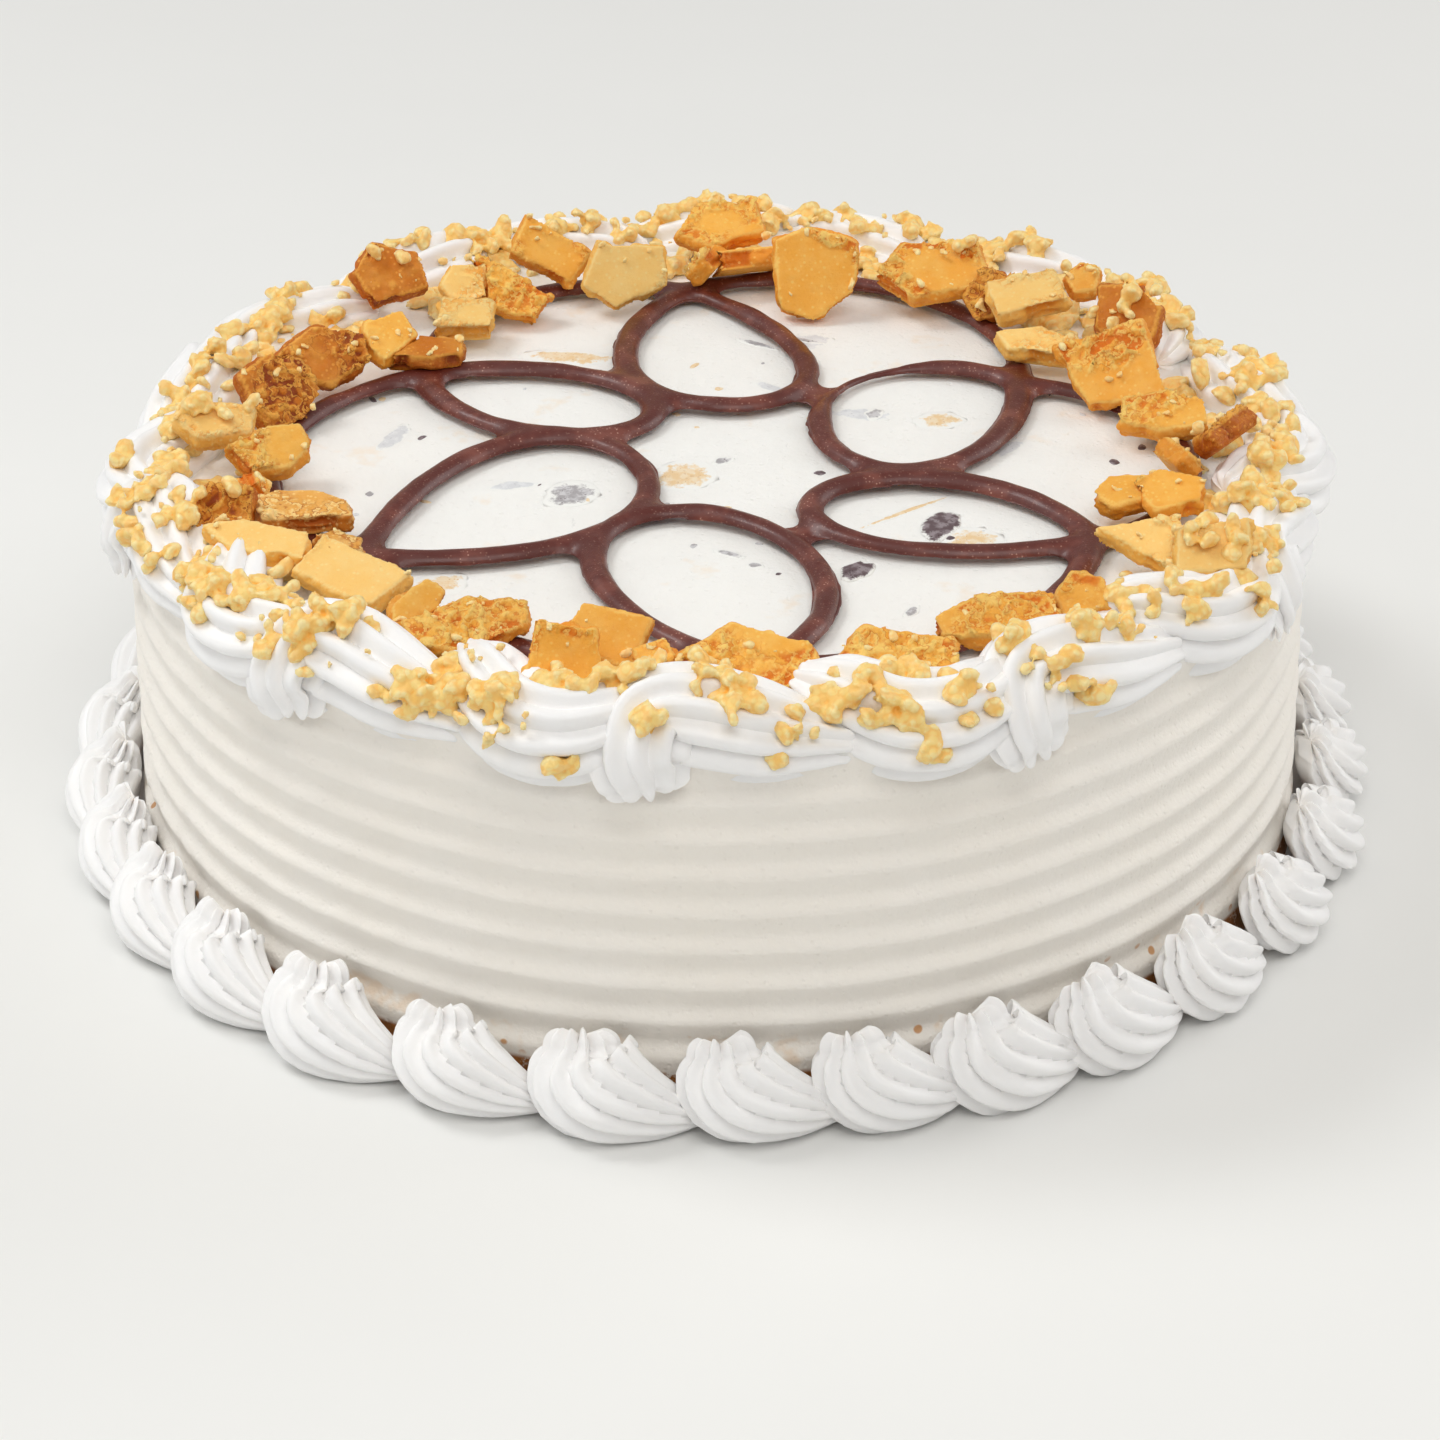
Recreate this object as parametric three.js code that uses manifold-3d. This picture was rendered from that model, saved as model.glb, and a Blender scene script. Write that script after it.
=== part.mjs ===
// A round celebration cake: a combed cream body, a piped cream border on its top edge with
// crumbs pressed into it, shells of cream round its foot, a chocolate fudge flower piped on its
// top, and broken slabs of golden crisp candy leaning round the edge.
// Millimetres, +Z up. The origin is the middle of the cake's foot, and the front looks along -Y.
import * as THREE from "three";
import { mergeVertices } from "three/addons/utils/BufferGeometryUtils.js";
import Module from "manifold-3d";

const wasm = await Module();
wasm.setup();

// Cake body
const FOOT_RADIUS = 127;
const TOP_RADIUS = 125.5;
const BODY_HEIGHT = 80;
const BODY_SIDES = 36;
const TOP_EDGE_ROUNDING = 2.5;

// Combed side: each ridge has a sloping shoulder that looks up to the groove above it, and from
// there the plain face leans out to the next ridge
const LOWEST_GROOVE = 13.7;
const GROOVE_PITCH = 8.2;
const GROOVE_COUNT = 8;
const GROOVE_DEPTH = 1.8;
const SHOULDER_DROP = 2.4;

// Gap kept between neighbouring pieces
const GAP = 0.3;

// Star nozzle: the seen side of a stroke has ridges from one edge to the other, its back is plain
const STROKE_RIDGES = 5;
const STROKE_SPREAD = 106;
const BACK_ANGLE = 146;
const BACK_SHARE = 0.75;
const VALLEY_SHARE = 0.78;
const BLUNT_END = 0.45;

// Top border: each turn is a fan that falls over the edge and runs on as a swag, then a second swag
const BORDER_TURNS = 10;
const FIRST_FAN = -8;
const FAN_DRIFT = 2.4;
// Stops along a stroke: degrees after the fan, radius, height and thickness of the cream, and how
// many times as wide as thick it is
const FAN_STROKE = [
  [2, 126.5, 73.5, 3.8, 2.3],
  [1.4, 125.5, 79, 6.8, 1.5],
  [2.4, 120.5, 83.4, 9.2, 1.12],
  [6.5, 118, 83, 10.8, 1],
  [13, 119.5, 80.8, 9.6, 1],
  [20, 121, 79, 5.4, 1],
];
const SWAG_STROKE = [
  [17, 108, 85, 4.5, 1],
  [20, 112.5, 83.5, 8.8, 1],
  [25, 119.5, 80.6, 10.8, 1],
  [30, 122, 80.6, 10.4, 1],
  [34.5, 120, 82.5, 8.3, 1],
  [38, 115, 83.5, 5, 1],
];

// Towards the back the border sits lower: its drop there, and the degrees from the front where
// the drop starts and is whole
const BACK_DROP = 4.5;
const DROP_START = 45;
const DROP_END = 105;

// Shells round the foot, one closed ring of cream
const SHELL_COUNT = 30;
const FIRST_SHELL = 2.6;
const SHELL_DRIFT = 1.4;
const SHELL_WAVES = 4;
// Stations of a shell: degrees after its middle, radius, height and thickness, and how far in
// degrees the ridges reach back past the valleys as finger tips
const SHELL_STATIONS = [
  [-6, 133, 4.5, 4.8, 0],
  [-5, 132, 10.8, 7.6, 1],
  [-2.8, 133.5, 9.3, 10.6, 0.6],
  [0.4, 135, 8.2, 11.6, 0],
  [3.4, 135.2, 6.4, 8.8, 0],
];
const SHELL_RIDGES = 5;
const SHELL_TOP_ANGLE = 125;
const SHELL_FOOT_ANGLE = -62;
const SHELL_BACK_RISE = 0.3;
const SHELL_UNEVENNESS = 0.06;

// Fudge bead
const BEAD_WIDTH = 6;
const BEAD_HEIGHT = 3.8;
const BEAD_SHOULDER = 0.7;
const PETAL_STATIONS = 12;
const RING_STATIONS = 36;
// Petals: axis in degrees, inner and outer end, half width, pointedness of the tip, sideways
// bend, and how far the outer ring bulges between this petal's tip and the next
const PETALS = [
  { axis: -177.8, inner: 21, outer: 83, width: 24.6, point: 0.76, bend: 4.1, bulge: 12 },
  { axis: -121.5, inner: 20, outer: 74, width: 18.4, point: 0.51, bend: 2.7, bulge: 14 },
  { axis: -59, inner: 18, outer: 88, width: 29.3, point: 0.88, bend: 5.5, bulge: 5 },
  { axis: -0.9, inner: 30, outer: 93, width: 25.1, point: 0.32, bend: 7.3, bulge: 8 },
  { axis: 55.9, inner: 30, outer: 87, width: 19.7, point: 0.51, bend: 6.8, bulge: 19 },
  { axis: 110.9, inner: 23, outer: 73, width: 26.7, point: 0.44, bend: 6.8, bulge: 14 },
];

// Slabs of crisp candy: thickness, and how much their broken edges wander
const SLAB_THICKNESS = 4.6;
const EDGE_BEVEL = 0.9;
const CORNER_WANDER = 0.26;
// One row for each slab, from the front round by the left: degrees round the cake, radius and
// height of its middle, length, width, the way its face looks in degrees, its lean from lying
// flat, its turn within its own plane, and its number of corners
const SLABS = [
  // Front
  [3, 104, 86, 28, 19, 0, 32, -3, 5],
  [-7, 101, 86, 9, 7, 0, 30, 20, 4],
  [-15.5, 111, 89, 17, 20, 8, 58, 5, 5],
  [-13.5, 94, 86.5, 16, 13, 15, 38, -32, 4],
  [-29, 100, 85.5, 26, 15, 10, 20, 12, 6],
  [-35.5, 102, 86.5, 16, 10, 20, 40, 42, 5],
  // Left
  [-47, 100, 86.5, 23, 13, -10, 16, -24, 4],
  [-55, 93, 85.9, 12, 8, 0, 10, -15, 5],
  [-65, 93.5, 86.5, 22, 12, 0, 8, -4, 7],
  [-58, 109, 89, 24, 10, 0, 14, -14, 5],
  [-66.5, 111, 89, 16, 13, 5, 38, 0, 5],
  [-71, 101, 88.5, 9, 8, 103, 62, 0, 4],
  [-80, 95, 89, 18, 13, 25, 24, 10, 6],
  // Back left
  [-87, 106.5, 90, 18, 13, 30, 16, -20, 5],
  [-98.5, 96, 88.5, 18, 18, 40, 48, 5, 6],
  [-110, 93, 88.5, 24, 15, 28, 44, 0, 6],
  [-133.5, 104, 91, 17, 16, 20, 44, 0, 5],
  [-119, 84, 88.5, 14, 12, 25, 30, 10, 5],
  [-121, 77, 86, 20, 10, 15, 12, -12, 6],
  [-135, 81, 86.3, 14, 13, 8, 12, -8, 4],
  [-140, 90, 89, 12, 12, 15, 42, 0, 5],
  [-145, 85, 87, 21, 12, 12, 44, -35, 4],
  // Back
  [-155, 93, 91, 18, 11, 15, 46, -40, 4],
  [-164, 79, 89, 21, 17, 5, 55, 8, 5],
  [-180, 95, 92.5, 22, 15, 5, 22, 12, 5],
  [-178, 84, 87.8, 10, 9, -110, 52, 0, 4],
  [175.5, 87, 87.8, 18, 10, -165, 34, 0, 4],
  [163, 78, 89.5, 20, 23, 0, 58, 3, 6],
  // Back right
  [147, 89, 90, 27, 18, -5, 26, 8, 5],
  [137, 91, 88, 13, 14, -25, 50, 10, 5],
  [130.5, 91, 91, 18, 12, -10, 20, 24, 4],
  [121, 82, 86.5, 20, 10, -10, 18, -15, 5],
  [128, 104, 92.5, 9, 10, -15, 30, 0, 5],
  [118, 103, 90.5, 17, 17, -30, 50, 0, 6],
  // Right
  [106, 89, 88.8, 22, 20, -14, 40, 22, 4],
  [93, 96, 87.2, 20, 13, -20, 22, 8, 6],
  [84.5, 106.5, 90, 18, 9, -126, 45, 0, 4],
  [80.5, 98, 87, 12, 9, 116, 50, 0, 4],
  [69.5, 88.5, 86, 13, 11, -10, 12, 15, 5],
  [70.5, 98, 87.2, 16, 13, -15, 20, 5, 5],
  [57, 101, 87, 18, 16, -5, 28, 0, 3],
  [56.5, 118, 91, 17, 13, -10, 32, 12, 4],
  [42.5, 106, 87.8, 12, 11, -15, 38, 10, 5],
  [33, 100, 85.5, 26, 13, -8, 20, 18, 6],
  [18, 108.5, 86.5, 26, 17, 0, 30, 4, 5],
];

// Crumbs pressed into the border, the largest ones. They lie high on the cream's outer side.
const CRUMB_COUNT = 18;
const CRUMB_LARGEST = 4.2;
const CRUMB_SMALLEST = 2.8;
const CRUMB_UNEVENNESS = 0.5;
const CRUMB_SINK = 0.95;
const CRUMB_LOWEST = 35;
const CRUMB_HIGHEST = 105;
const RANDOM_SEED = 7;

// A repeatable stream of random numbers from 0 to 1.
function randomStream(seed) {
  let state = seed;
  return () => {
    state = (state + 0x6d2b79f5) | 0;
    let mixed = Math.imul(state ^ (state >>> 15), 1 | state);
    mixed = (mixed + Math.imul(mixed ^ (mixed >>> 7), 61 | mixed)) ^ mixed;
    return ((mixed ^ (mixed >>> 14)) >>> 0) / 2 ** 32;
  };
}

// A point by its degrees round the cake from the front, its radius and its height.
function around(degrees, radius, height) {
  const angle = THREE.MathUtils.degToRad(degrees);
  return new THREE.Vector3(radius * Math.sin(angle), -radius * Math.cos(angle), height);
}

// A geometry from points and triangles.
function geometryFrom(points, triangles) {
  const geometry = new THREE.BufferGeometry().setFromPoints(points);
  geometry.setIndex(triangles);
  geometry.computeVertexNormals();
  return geometry;
}

// A closed geometry as a solid.
function solidOf(geometry) {
  const bare = new THREE.BufferGeometry();
  bare.setAttribute("position", geometry.getAttribute("position"));
  bare.setIndex(geometry.index);
  const merged = mergeVertices(bare, 1e-4);
  return new wasm.Manifold(
    new wasm.Mesh({
      numProp: 3,
      vertProperties: merged.attributes.position.array,
      triVerts: new Uint32Array(merged.index.array),
    }),
  );
}

// The largest body of a solid, as a geometry.
function geometryOf(solid) {
  const largest = solid.decompose().reduce((a, b) => (b.volume() > a.volume() ? b : a));
  const mesh = largest.getMesh();
  const geometry = new THREE.BufferGeometry();
  geometry.setAttribute("position", new THREE.BufferAttribute(mesh.vertProperties, 3));
  geometry.setIndex(new THREE.BufferAttribute(mesh.triVerts, 1));
  geometry.computeVertexNormals();
  return geometry;
}

// The triangles of a skin over rings of points, each ring with the same number of sides.
// An open skin is shut by a point at each end, which follow the rings.
function skinOf(ringCount, sides, closed) {
  const triangles = [];
  const spans = closed ? ringCount : ringCount - 1;
  for (let ring = 0; ring < spans; ring++) {
    const near = ring * sides;
    const far = ((ring + 1) % ringCount) * sides;
    for (let side = 0; side < sides; side++) {
      const next = (side + 1) % sides;
      triangles.push(near + side, near + next, far + side);
      triangles.push(near + next, far + next, far + side);
    }
  }
  if (!closed) {
    const start = ringCount * sides;
    const last = (ringCount - 1) * sides;
    for (let side = 0; side < sides; side++) {
      const next = (side + 1) % sides;
      triangles.push(start, next, side);
      triangles.push(start + 1, last + side, last + next);
    }
  }
  return triangles;
}

// The outline of the body from its middle at the foot to its middle at the top.
function bodyProfile() {
  const profile = [new THREE.Vector2(0, 0), new THREE.Vector2(FOOT_RADIUS, 0)];
  for (let groove = 0; groove < GROOVE_COUNT; groove++) {
    const height = LOWEST_GROOVE + groove * GROOVE_PITCH;
    const radius = THREE.MathUtils.lerp(FOOT_RADIUS, TOP_RADIUS, height / BODY_HEIGHT);
    profile.push(new THREE.Vector2(radius, height - SHOULDER_DROP));
    profile.push(new THREE.Vector2(radius - GROOVE_DEPTH, height));
  }
  profile.push(new THREE.Vector2(TOP_RADIUS, BODY_HEIGHT - TOP_EDGE_ROUNDING));
  profile.push(new THREE.Vector2(TOP_RADIUS - TOP_EDGE_ROUNDING, BODY_HEIGHT));
  profile.push(new THREE.Vector2(0, BODY_HEIGHT));
  return profile;
}

function bodyGeometry() {
  return new THREE.LatheGeometry(bodyProfile(), BODY_SIDES).rotateX(Math.PI / 2);
}

// A plain drum that is the gap wider and taller than the body, to cut its neighbours with.
function bodyRoom() {
  const radius = FOOT_RADIUS + GAP;
  const height = BODY_HEIGHT + GAP;
  const drum = new THREE.CylinderGeometry(radius, radius, 2 * height, BODY_SIDES);
  return solidOf(drum.rotateX(Math.PI / 2));
}

// Angles and reaches of a ridged section from one edge to the other, ridges and valleys by turns.
function ridgedSection(ridges, from, to) {
  const steps = 2 * ridges - 2;
  const section = [];
  for (let step = 0; step <= steps; step++) {
    const angle = THREE.MathUtils.degToRad(THREE.MathUtils.lerp(from, to, step / steps));
    section.push({ angle, share: step % 2 ? VALLEY_SHARE : 1 });
  }
  return section;
}

// The section of a piped stroke: its ridged face, and two points on its back.
function strokeSection() {
  const back = THREE.MathUtils.degToRad(BACK_ANGLE);
  return [
    ...ridgedSection(STROKE_RIDGES, -STROKE_SPREAD, STROKE_SPREAD),
    { angle: back, share: BACK_SHARE },
    { angle: -back, share: BACK_SHARE },
  ];
}

// A stroke of cream from a star nozzle, with its ridges on the side that looks out and up.
function pipedStroke(stops) {
  const points = stops.map(([degrees, radius, height]) => around(degrees, radius, height));
  const section = strokeSection();
  const last = points.length - 1;
  const forwards = points.map((point, index) => {
    const before = points[Math.max(index - 1, 0)];
    return points[Math.min(index + 1, last)].clone().sub(before).normalize();
  });
  const skin = [];
  points.forEach((point, index) => {
    const [, , , thickness, widening] = stops[index];
    const face = new THREE.Vector3(point.x, point.y, 0).normalize();
    face.z = 1;
    face.addScaledVector(forwards[index], -face.dot(forwards[index])).normalize();
    const sideways = forwards[index].clone().cross(face);
    for (const { angle, share } of section) {
      const place = point.clone().addScaledVector(face, thickness * share * Math.cos(angle));
      skin.push(place.addScaledVector(sideways, widening * thickness * share * Math.sin(angle)));
    }
  });
  skin.push(points[0].clone().addScaledVector(forwards[0], -BLUNT_END * stops[0][3]));
  skin.push(points[last].clone().addScaledVector(forwards[last], BLUNT_END * stops[last][3]));
  return solidOf(geometryFrom(skin, skinOf(points.length, section.length, false)));
}

// The place of each fan round the top edge, in degrees. They lie a little closer at the front.
function fanDegrees(turn) {
  const even = (360 * turn) / BORDER_TURNS;
  return FIRST_FAN + even - FAN_DRIFT * Math.sin(THREE.MathUtils.degToRad(even));
}

// A stop of a stroke at its place after a fan, lowered towards the back.
function placedStop(fan, stretch, [degrees, radius, height, ...rest]) {
  const place = fan + degrees * stretch;
  const offFront = Math.abs(THREE.MathUtils.euclideanModulo(place + 180, 360) - 180);
  const drop = BACK_DROP * THREE.MathUtils.smoothstep(offFront, DROP_START, DROP_END);
  return [place, radius, height - drop, ...rest];
}

// The stops of every stroke of the top border, fitted between its own fan and the next.
function borderStrokes() {
  const strokes = [];
  for (let turn = 0; turn < BORDER_TURNS; turn++) {
    const fan = fanDegrees(turn);
    const stretch = ((fanDegrees(turn + 1) - fan) * BORDER_TURNS) / 360;
    for (const stroke of [FAN_STROKE, SWAG_STROKE]) {
      strokes.push(stroke.map((stop) => placedStop(fan, stretch, stop)));
    }
  }
  return strokes;
}

// A crumb: a small uneven lump, turned any way.
function crumbSolid(middle, size, random) {
  const ball = new THREE.IcosahedronGeometry(size);
  const bare = new THREE.BufferGeometry().setAttribute("position", ball.getAttribute("position"));
  const lump = mergeVertices(bare);
  const places = lump.attributes.position;
  const pose = new THREE.Euler(3 * random(), 3 * random(), 3 * random());
  for (let corner = 0; corner < places.count; corner++) {
    const point = new THREE.Vector3().fromBufferAttribute(places, corner);
    point.multiplyScalar(1 + CRUMB_UNEVENNESS * (random() - 0.5)).applyEuler(pose).add(middle);
    places.setXYZ(corner, point.x, point.y, point.z);
  }
  return solidOf(lump);
}

// Crumbs on the upper outer side of the border's strokes, the largest first.
function borderCrumbs(strokes) {
  const random = randomStream(RANDOM_SEED);
  const crumbs = [];
  for (let index = 0; index < CRUMB_COUNT; index++) {
    const size = THREE.MathUtils.lerp(CRUMB_LARGEST, CRUMB_SMALLEST, index / (CRUMB_COUNT - 1));
    const stops = strokes[(7 * index) % strokes.length];
    const inner = 2 + Math.floor(random() * (stops.length - 4));
    const [degrees, radius, height, thickness] = stops[inner];
    const slope = THREE.MathUtils.lerp(CRUMB_LOWEST, CRUMB_HIGHEST, random());
    const rise = THREE.MathUtils.degToRad(slope);
    const reach = CRUMB_SINK * thickness;
    const middle = around(degrees, radius + reach * Math.cos(rise), height + reach * Math.sin(rise));
    crumbs.push(crumbSolid(middle, size, random));
  }
  return crumbs;
}

// The ring of shells. Each swells from finger tips to a round head, and its tail runs low and
// thin to the finger tips of the next.
function shellBorder() {
  const random = randomStream(RANDOM_SEED);
  const section = ridgedSection(SHELL_RIDGES, SHELL_TOP_ANGLE, SHELL_FOOT_ANGLE);
  const inner = FOOT_RADIUS + GAP;
  const skin = [];
  for (let index = 0; index < SHELL_COUNT; index++) {
    const even = FIRST_SHELL + (360 * index) / SHELL_COUNT;
    const wave = THREE.MathUtils.degToRad(SHELL_WAVES * (even + 3));
    const middle = even + SHELL_DRIFT * Math.cos(wave);
    const swelling = 1 + SHELL_UNEVENNESS * (2 * random() - 1);
    for (const [degrees, radius, height, thickness, fingers] of SHELL_STATIONS) {
      const size = thickness * swelling;
      skin.push(around(middle + degrees, inner, 0));
      skin.push(around(middle + degrees, inner, height + SHELL_BACK_RISE * size));
      section.forEach(({ angle, share }, step) => {
        const back = step % 2 ? 0 : fingers;
        const reach = Math.max(inner, radius + size * share * Math.cos(angle));
        const rise = Math.max(0, height + size * share * Math.sin(angle));
        skin.push(around(middle + degrees - back, reach, rise));
      });
    }
  }
  const sides = section.length + 2;
  return geometryFrom(skin, skinOf(skin.length / sides, sides, true));
}

// The middle line of a petal: a closed loop with its tip at the outer end.
function petalLine(petal) {
  const line = [];
  const axis = THREE.MathUtils.degToRad(petal.axis);
  const outward = new THREE.Vector2(Math.sin(axis), -Math.cos(axis));
  const sideways = new THREE.Vector2(Math.cos(axis), Math.sin(axis));
  for (let station = 0; station < PETAL_STATIONS; station++) {
    const turn = (2 * Math.PI * station) / PETAL_STATIONS;
    const along = THREE.MathUtils.lerp(petal.inner, petal.outer, (1 + Math.cos(turn)) / 2);
    const spread = petal.width * Math.sin(turn) * Math.sin(turn / 2) ** petal.point;
    const across = spread + petal.bend * Math.cos(turn);
    const point = outward.clone().multiplyScalar(along);
    line.push(point.addScaledVector(sideways, across));
  }
  return line;
}

// The middle line of the outer ring: it dips in at each petal's tip and bulges out between.
function ringLine() {
  const tips = PETALS.map((petal) => petalLine(petal)[0]);
  const starts = tips.map((tip) => THREE.MathUtils.radToDeg(Math.atan2(tip.x, -tip.y)));
  const line = [];
  const perSpan = RING_STATIONS / PETALS.length;
  PETALS.forEach((petal, index) => {
    const following = (index + 1) % PETALS.length;
    const from = starts[index];
    const to = starts[following] + (starts[following] < from ? 360 : 0);
    for (let step = 0; step < perSpan; step++) {
      const share = step / perSpan;
      const radius = THREE.MathUtils.lerp(tips[index].length(), tips[following].length(), share);
      const bulged = radius + petal.bulge * Math.sin(Math.PI * share) ** 0.8;
      const point = around(THREE.MathUtils.lerp(from, to, share), bulged, 0);
      line.push(new THREE.Vector2(point.x, point.y));
    }
  });
  return line;
}

// A flat-bottomed bead of fudge along a closed line, made larger all round by a margin.
function beadSolid(line, margin) {
  const half = BEAD_WIDTH / 2 + margin;
  const foot = BODY_HEIGHT + GAP - margin;
  const crown = BODY_HEIGHT + GAP + BEAD_HEIGHT + margin;
  const shoulder = THREE.MathUtils.lerp(foot, crown, BEAD_SHOULDER);
  const section = [
    [-half, foot],
    [half, foot],
    [BEAD_SHOULDER * half, shoulder],
    [0, crown],
    [-BEAD_SHOULDER * half, shoulder],
  ];
  const skin = [];
  line.forEach((point, index) => {
    const before = line[(index + line.length - 1) % line.length];
    const after = line[(index + 1) % line.length];
    const forward = after.clone().sub(before).normalize();
    for (const [across, height] of section) {
      const x = point.x - forward.y * across;
      const y = point.y + forward.x * across;
      skin.push(new THREE.Vector3(x, y, height));
    }
  });
  return solidOf(geometryFrom(skin, skinOf(line.length, section.length, true)));
}

// The whole fudge flower, made larger all round by a margin.
function fudgeSolid(margin) {
  return PETALS.reduce(
    (joined, petal) => joined.add(beadSolid(petalLine(petal), margin)),
    beadSolid(ringLine(), margin),
  );
}

// The corners of a broken slab, squarish and uneven, which fill its length and width.
function slabOutline(length, width, corners, random) {
  const outline = [];
  for (let corner = 0; corner < corners; corner++) {
    const step = corner + 0.5 + CORNER_WANDER * (random() - 0.5);
    const angle = (2 * Math.PI * step) / corners;
    const squared = (Math.cos(angle) ** 4 + Math.sin(angle) ** 4) ** 0.25;
    const reach = (1 - CORNER_WANDER * random()) / squared;
    outline.push(new THREE.Vector2(reach * Math.cos(angle), reach * Math.sin(angle)));
  }
  const box = new THREE.Box2().setFromPoints(outline);
  const middle = box.getCenter(new THREE.Vector2());
  const stretch = new THREE.Vector2(length, width).divide(box.getSize(new THREE.Vector2()));
  return outline.map((corner) => corner.sub(middle).multiply(stretch));
}

// The turn that stands a slab in its place: its own turn, then its lean, then its facing.
function slabPose(facing, lean, turn) {
  const [facingAngle, leanAngle, turnAngle] = [facing, lean, turn].map(THREE.MathUtils.degToRad);
  const up = new THREE.Vector3(0, 0, 1);
  const across = new THREE.Vector3(1, 0, 0);
  const pose = new THREE.Quaternion().setFromAxisAngle(up, facingAngle);
  pose.multiply(new THREE.Quaternion().setFromAxisAngle(across, leanAngle));
  return pose.multiply(new THREE.Quaternion().setFromAxisAngle(up, turnAngle));
}

// A broken slab of candy with bevelled edges, made larger all round by a margin.
function slabSolid(row, margin, random) {
  const [degrees, radius, height, length, width, facing, lean, turn, corners] = row;
  const outline = slabOutline(length, width, corners, random);
  const half = SLAB_THICKNESS / 2 + margin;
  const skin = [];
  for (const [level, inset] of [[-half, EDGE_BEVEL], [0, 0], [half, EDGE_BEVEL]]) {
    for (const corner of outline) {
      const scale = 1 + (margin - inset) / corner.length();
      skin.push(new THREE.Vector3(corner.x * scale, corner.y * scale, level));
    }
  }
  skin.push(new THREE.Vector3(0, 0, -half), new THREE.Vector3(0, 0, half));
  const pose = slabPose(facing, lean, turn);
  const middle = around(degrees, radius, height);
  skin.forEach((point) => point.applyQuaternion(pose).add(middle));
  return solidOf(geometryFrom(skin, skinOf(3, corners, false)));
}

// Every slab, cut clear of its neighbours and of the slabs before it, and the room that the
// slabs take out of the border.
function candySlabs(neighbours) {
  const slabs = [];
  const rooms = [];
  SLABS.forEach((row, index) => {
    const seed = RANDOM_SEED * 100 + index;
    const whole = slabSolid(row, 0, randomStream(seed));
    slabs.push(rooms.reduce((left, room) => left.subtract(room), whole.subtract(neighbours)));
    rooms.push(slabSolid(row, GAP, randomStream(seed)));
  });
  return { slabs, slabRoom: rooms.reduce((joined, room) => joined.add(room)) };
}

// The border: its strokes and the crumbs that the slabs leave clear, fused in one.
function topBorder(neighbours, slabRoom) {
  const strokes = borderStrokes();
  const crumbs = borderCrumbs(strokes).filter((crumb) => crumb.intersect(slabRoom).isEmpty());
  const pieces = [...strokes.map(pipedStroke), ...crumbs];
  const fused = pieces.reduce((joined, piece) => joined.add(piece));
  return fused.subtract(neighbours).subtract(slabRoom);
}

function finish(colour, roughness) {
  return new THREE.MeshStandardMaterial({ color: colour, roughness, metalness: 0 });
}

const bodyCream = finish(0xf2efe6, 0.55);
const pipedCream = finish(0xf7f6f3, 0.45);
const fudge = finish(0x4a2a24, 0.4);
const candy = finish(0xdf9f45, 0.7);

const cake = new THREE.Group();

function addPiece(name, geometry, material) {
  const mesh = new THREE.Mesh(geometry, material.clone());
  mesh.name = name;
  cake.add(mesh);
}

const neighbours = bodyRoom().add(fudgeSolid(GAP));
const { slabs, slabRoom } = candySlabs(neighbours);

addPiece("cake_body", bodyGeometry(), bodyCream);
addPiece("top_border", geometryOf(topBorder(neighbours, slabRoom)), pipedCream);
addPiece("shell_border", shellBorder(), pipedCream);
addPiece("fudge_piping", geometryOf(fudgeSolid(0)), fudge);
slabs.forEach((slab, index) => {
  const number = String(index + 1).padStart(2, "0");
  addPiece("crisp_slab_" + number, geometryOf(slab), candy);
});

export default cake;
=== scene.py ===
import itertools
import math

import bmesh
import bpy
import numpy as np
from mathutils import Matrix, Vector
from mathutils.bvhtree import BVHTree


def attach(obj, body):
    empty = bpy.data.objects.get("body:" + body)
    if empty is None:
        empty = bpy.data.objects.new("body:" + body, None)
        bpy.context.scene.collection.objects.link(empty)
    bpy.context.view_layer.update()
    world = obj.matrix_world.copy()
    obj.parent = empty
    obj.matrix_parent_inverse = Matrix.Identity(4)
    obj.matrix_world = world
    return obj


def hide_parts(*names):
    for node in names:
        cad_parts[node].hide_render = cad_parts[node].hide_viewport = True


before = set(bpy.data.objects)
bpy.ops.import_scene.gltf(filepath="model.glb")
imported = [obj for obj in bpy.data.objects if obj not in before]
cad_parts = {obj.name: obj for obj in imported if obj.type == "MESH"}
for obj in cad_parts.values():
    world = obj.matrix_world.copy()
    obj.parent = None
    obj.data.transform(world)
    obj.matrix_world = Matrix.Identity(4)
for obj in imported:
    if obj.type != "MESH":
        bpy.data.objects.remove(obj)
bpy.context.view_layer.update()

MM = 0.001
SEED = 7

# Cake body
FOOT_RADIUS = 127
TOP_RADIUS = 125.5
BODY_HEIGHT = 80
TOP_EDGE_ROUNDING = 2.5
BODY_SIDES = 480
SIDE_ROWS = 100
TOP_ROWS = 24

# Combed side
LOWEST_GROOVE = 13.7
GROOVE_PITCH = 8.2
GROOVE_COUNT = 8
GROOVE_DEPTH = 1.8
SHOULDER_DROP = 2.4
# The floor of a groove: places above the groove's height, and their shares of its depth
GROOVE_FLOOR = ((-0.3, 0.9), (1, 0.94))
CORNER_SOFTENING = (-0.3, 0, 0.3)

# Top border: fans and swags by turns
BORDER_TURNS = 10
FIRST_FAN = -8
FAN_DRIFT = 2.4
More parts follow.
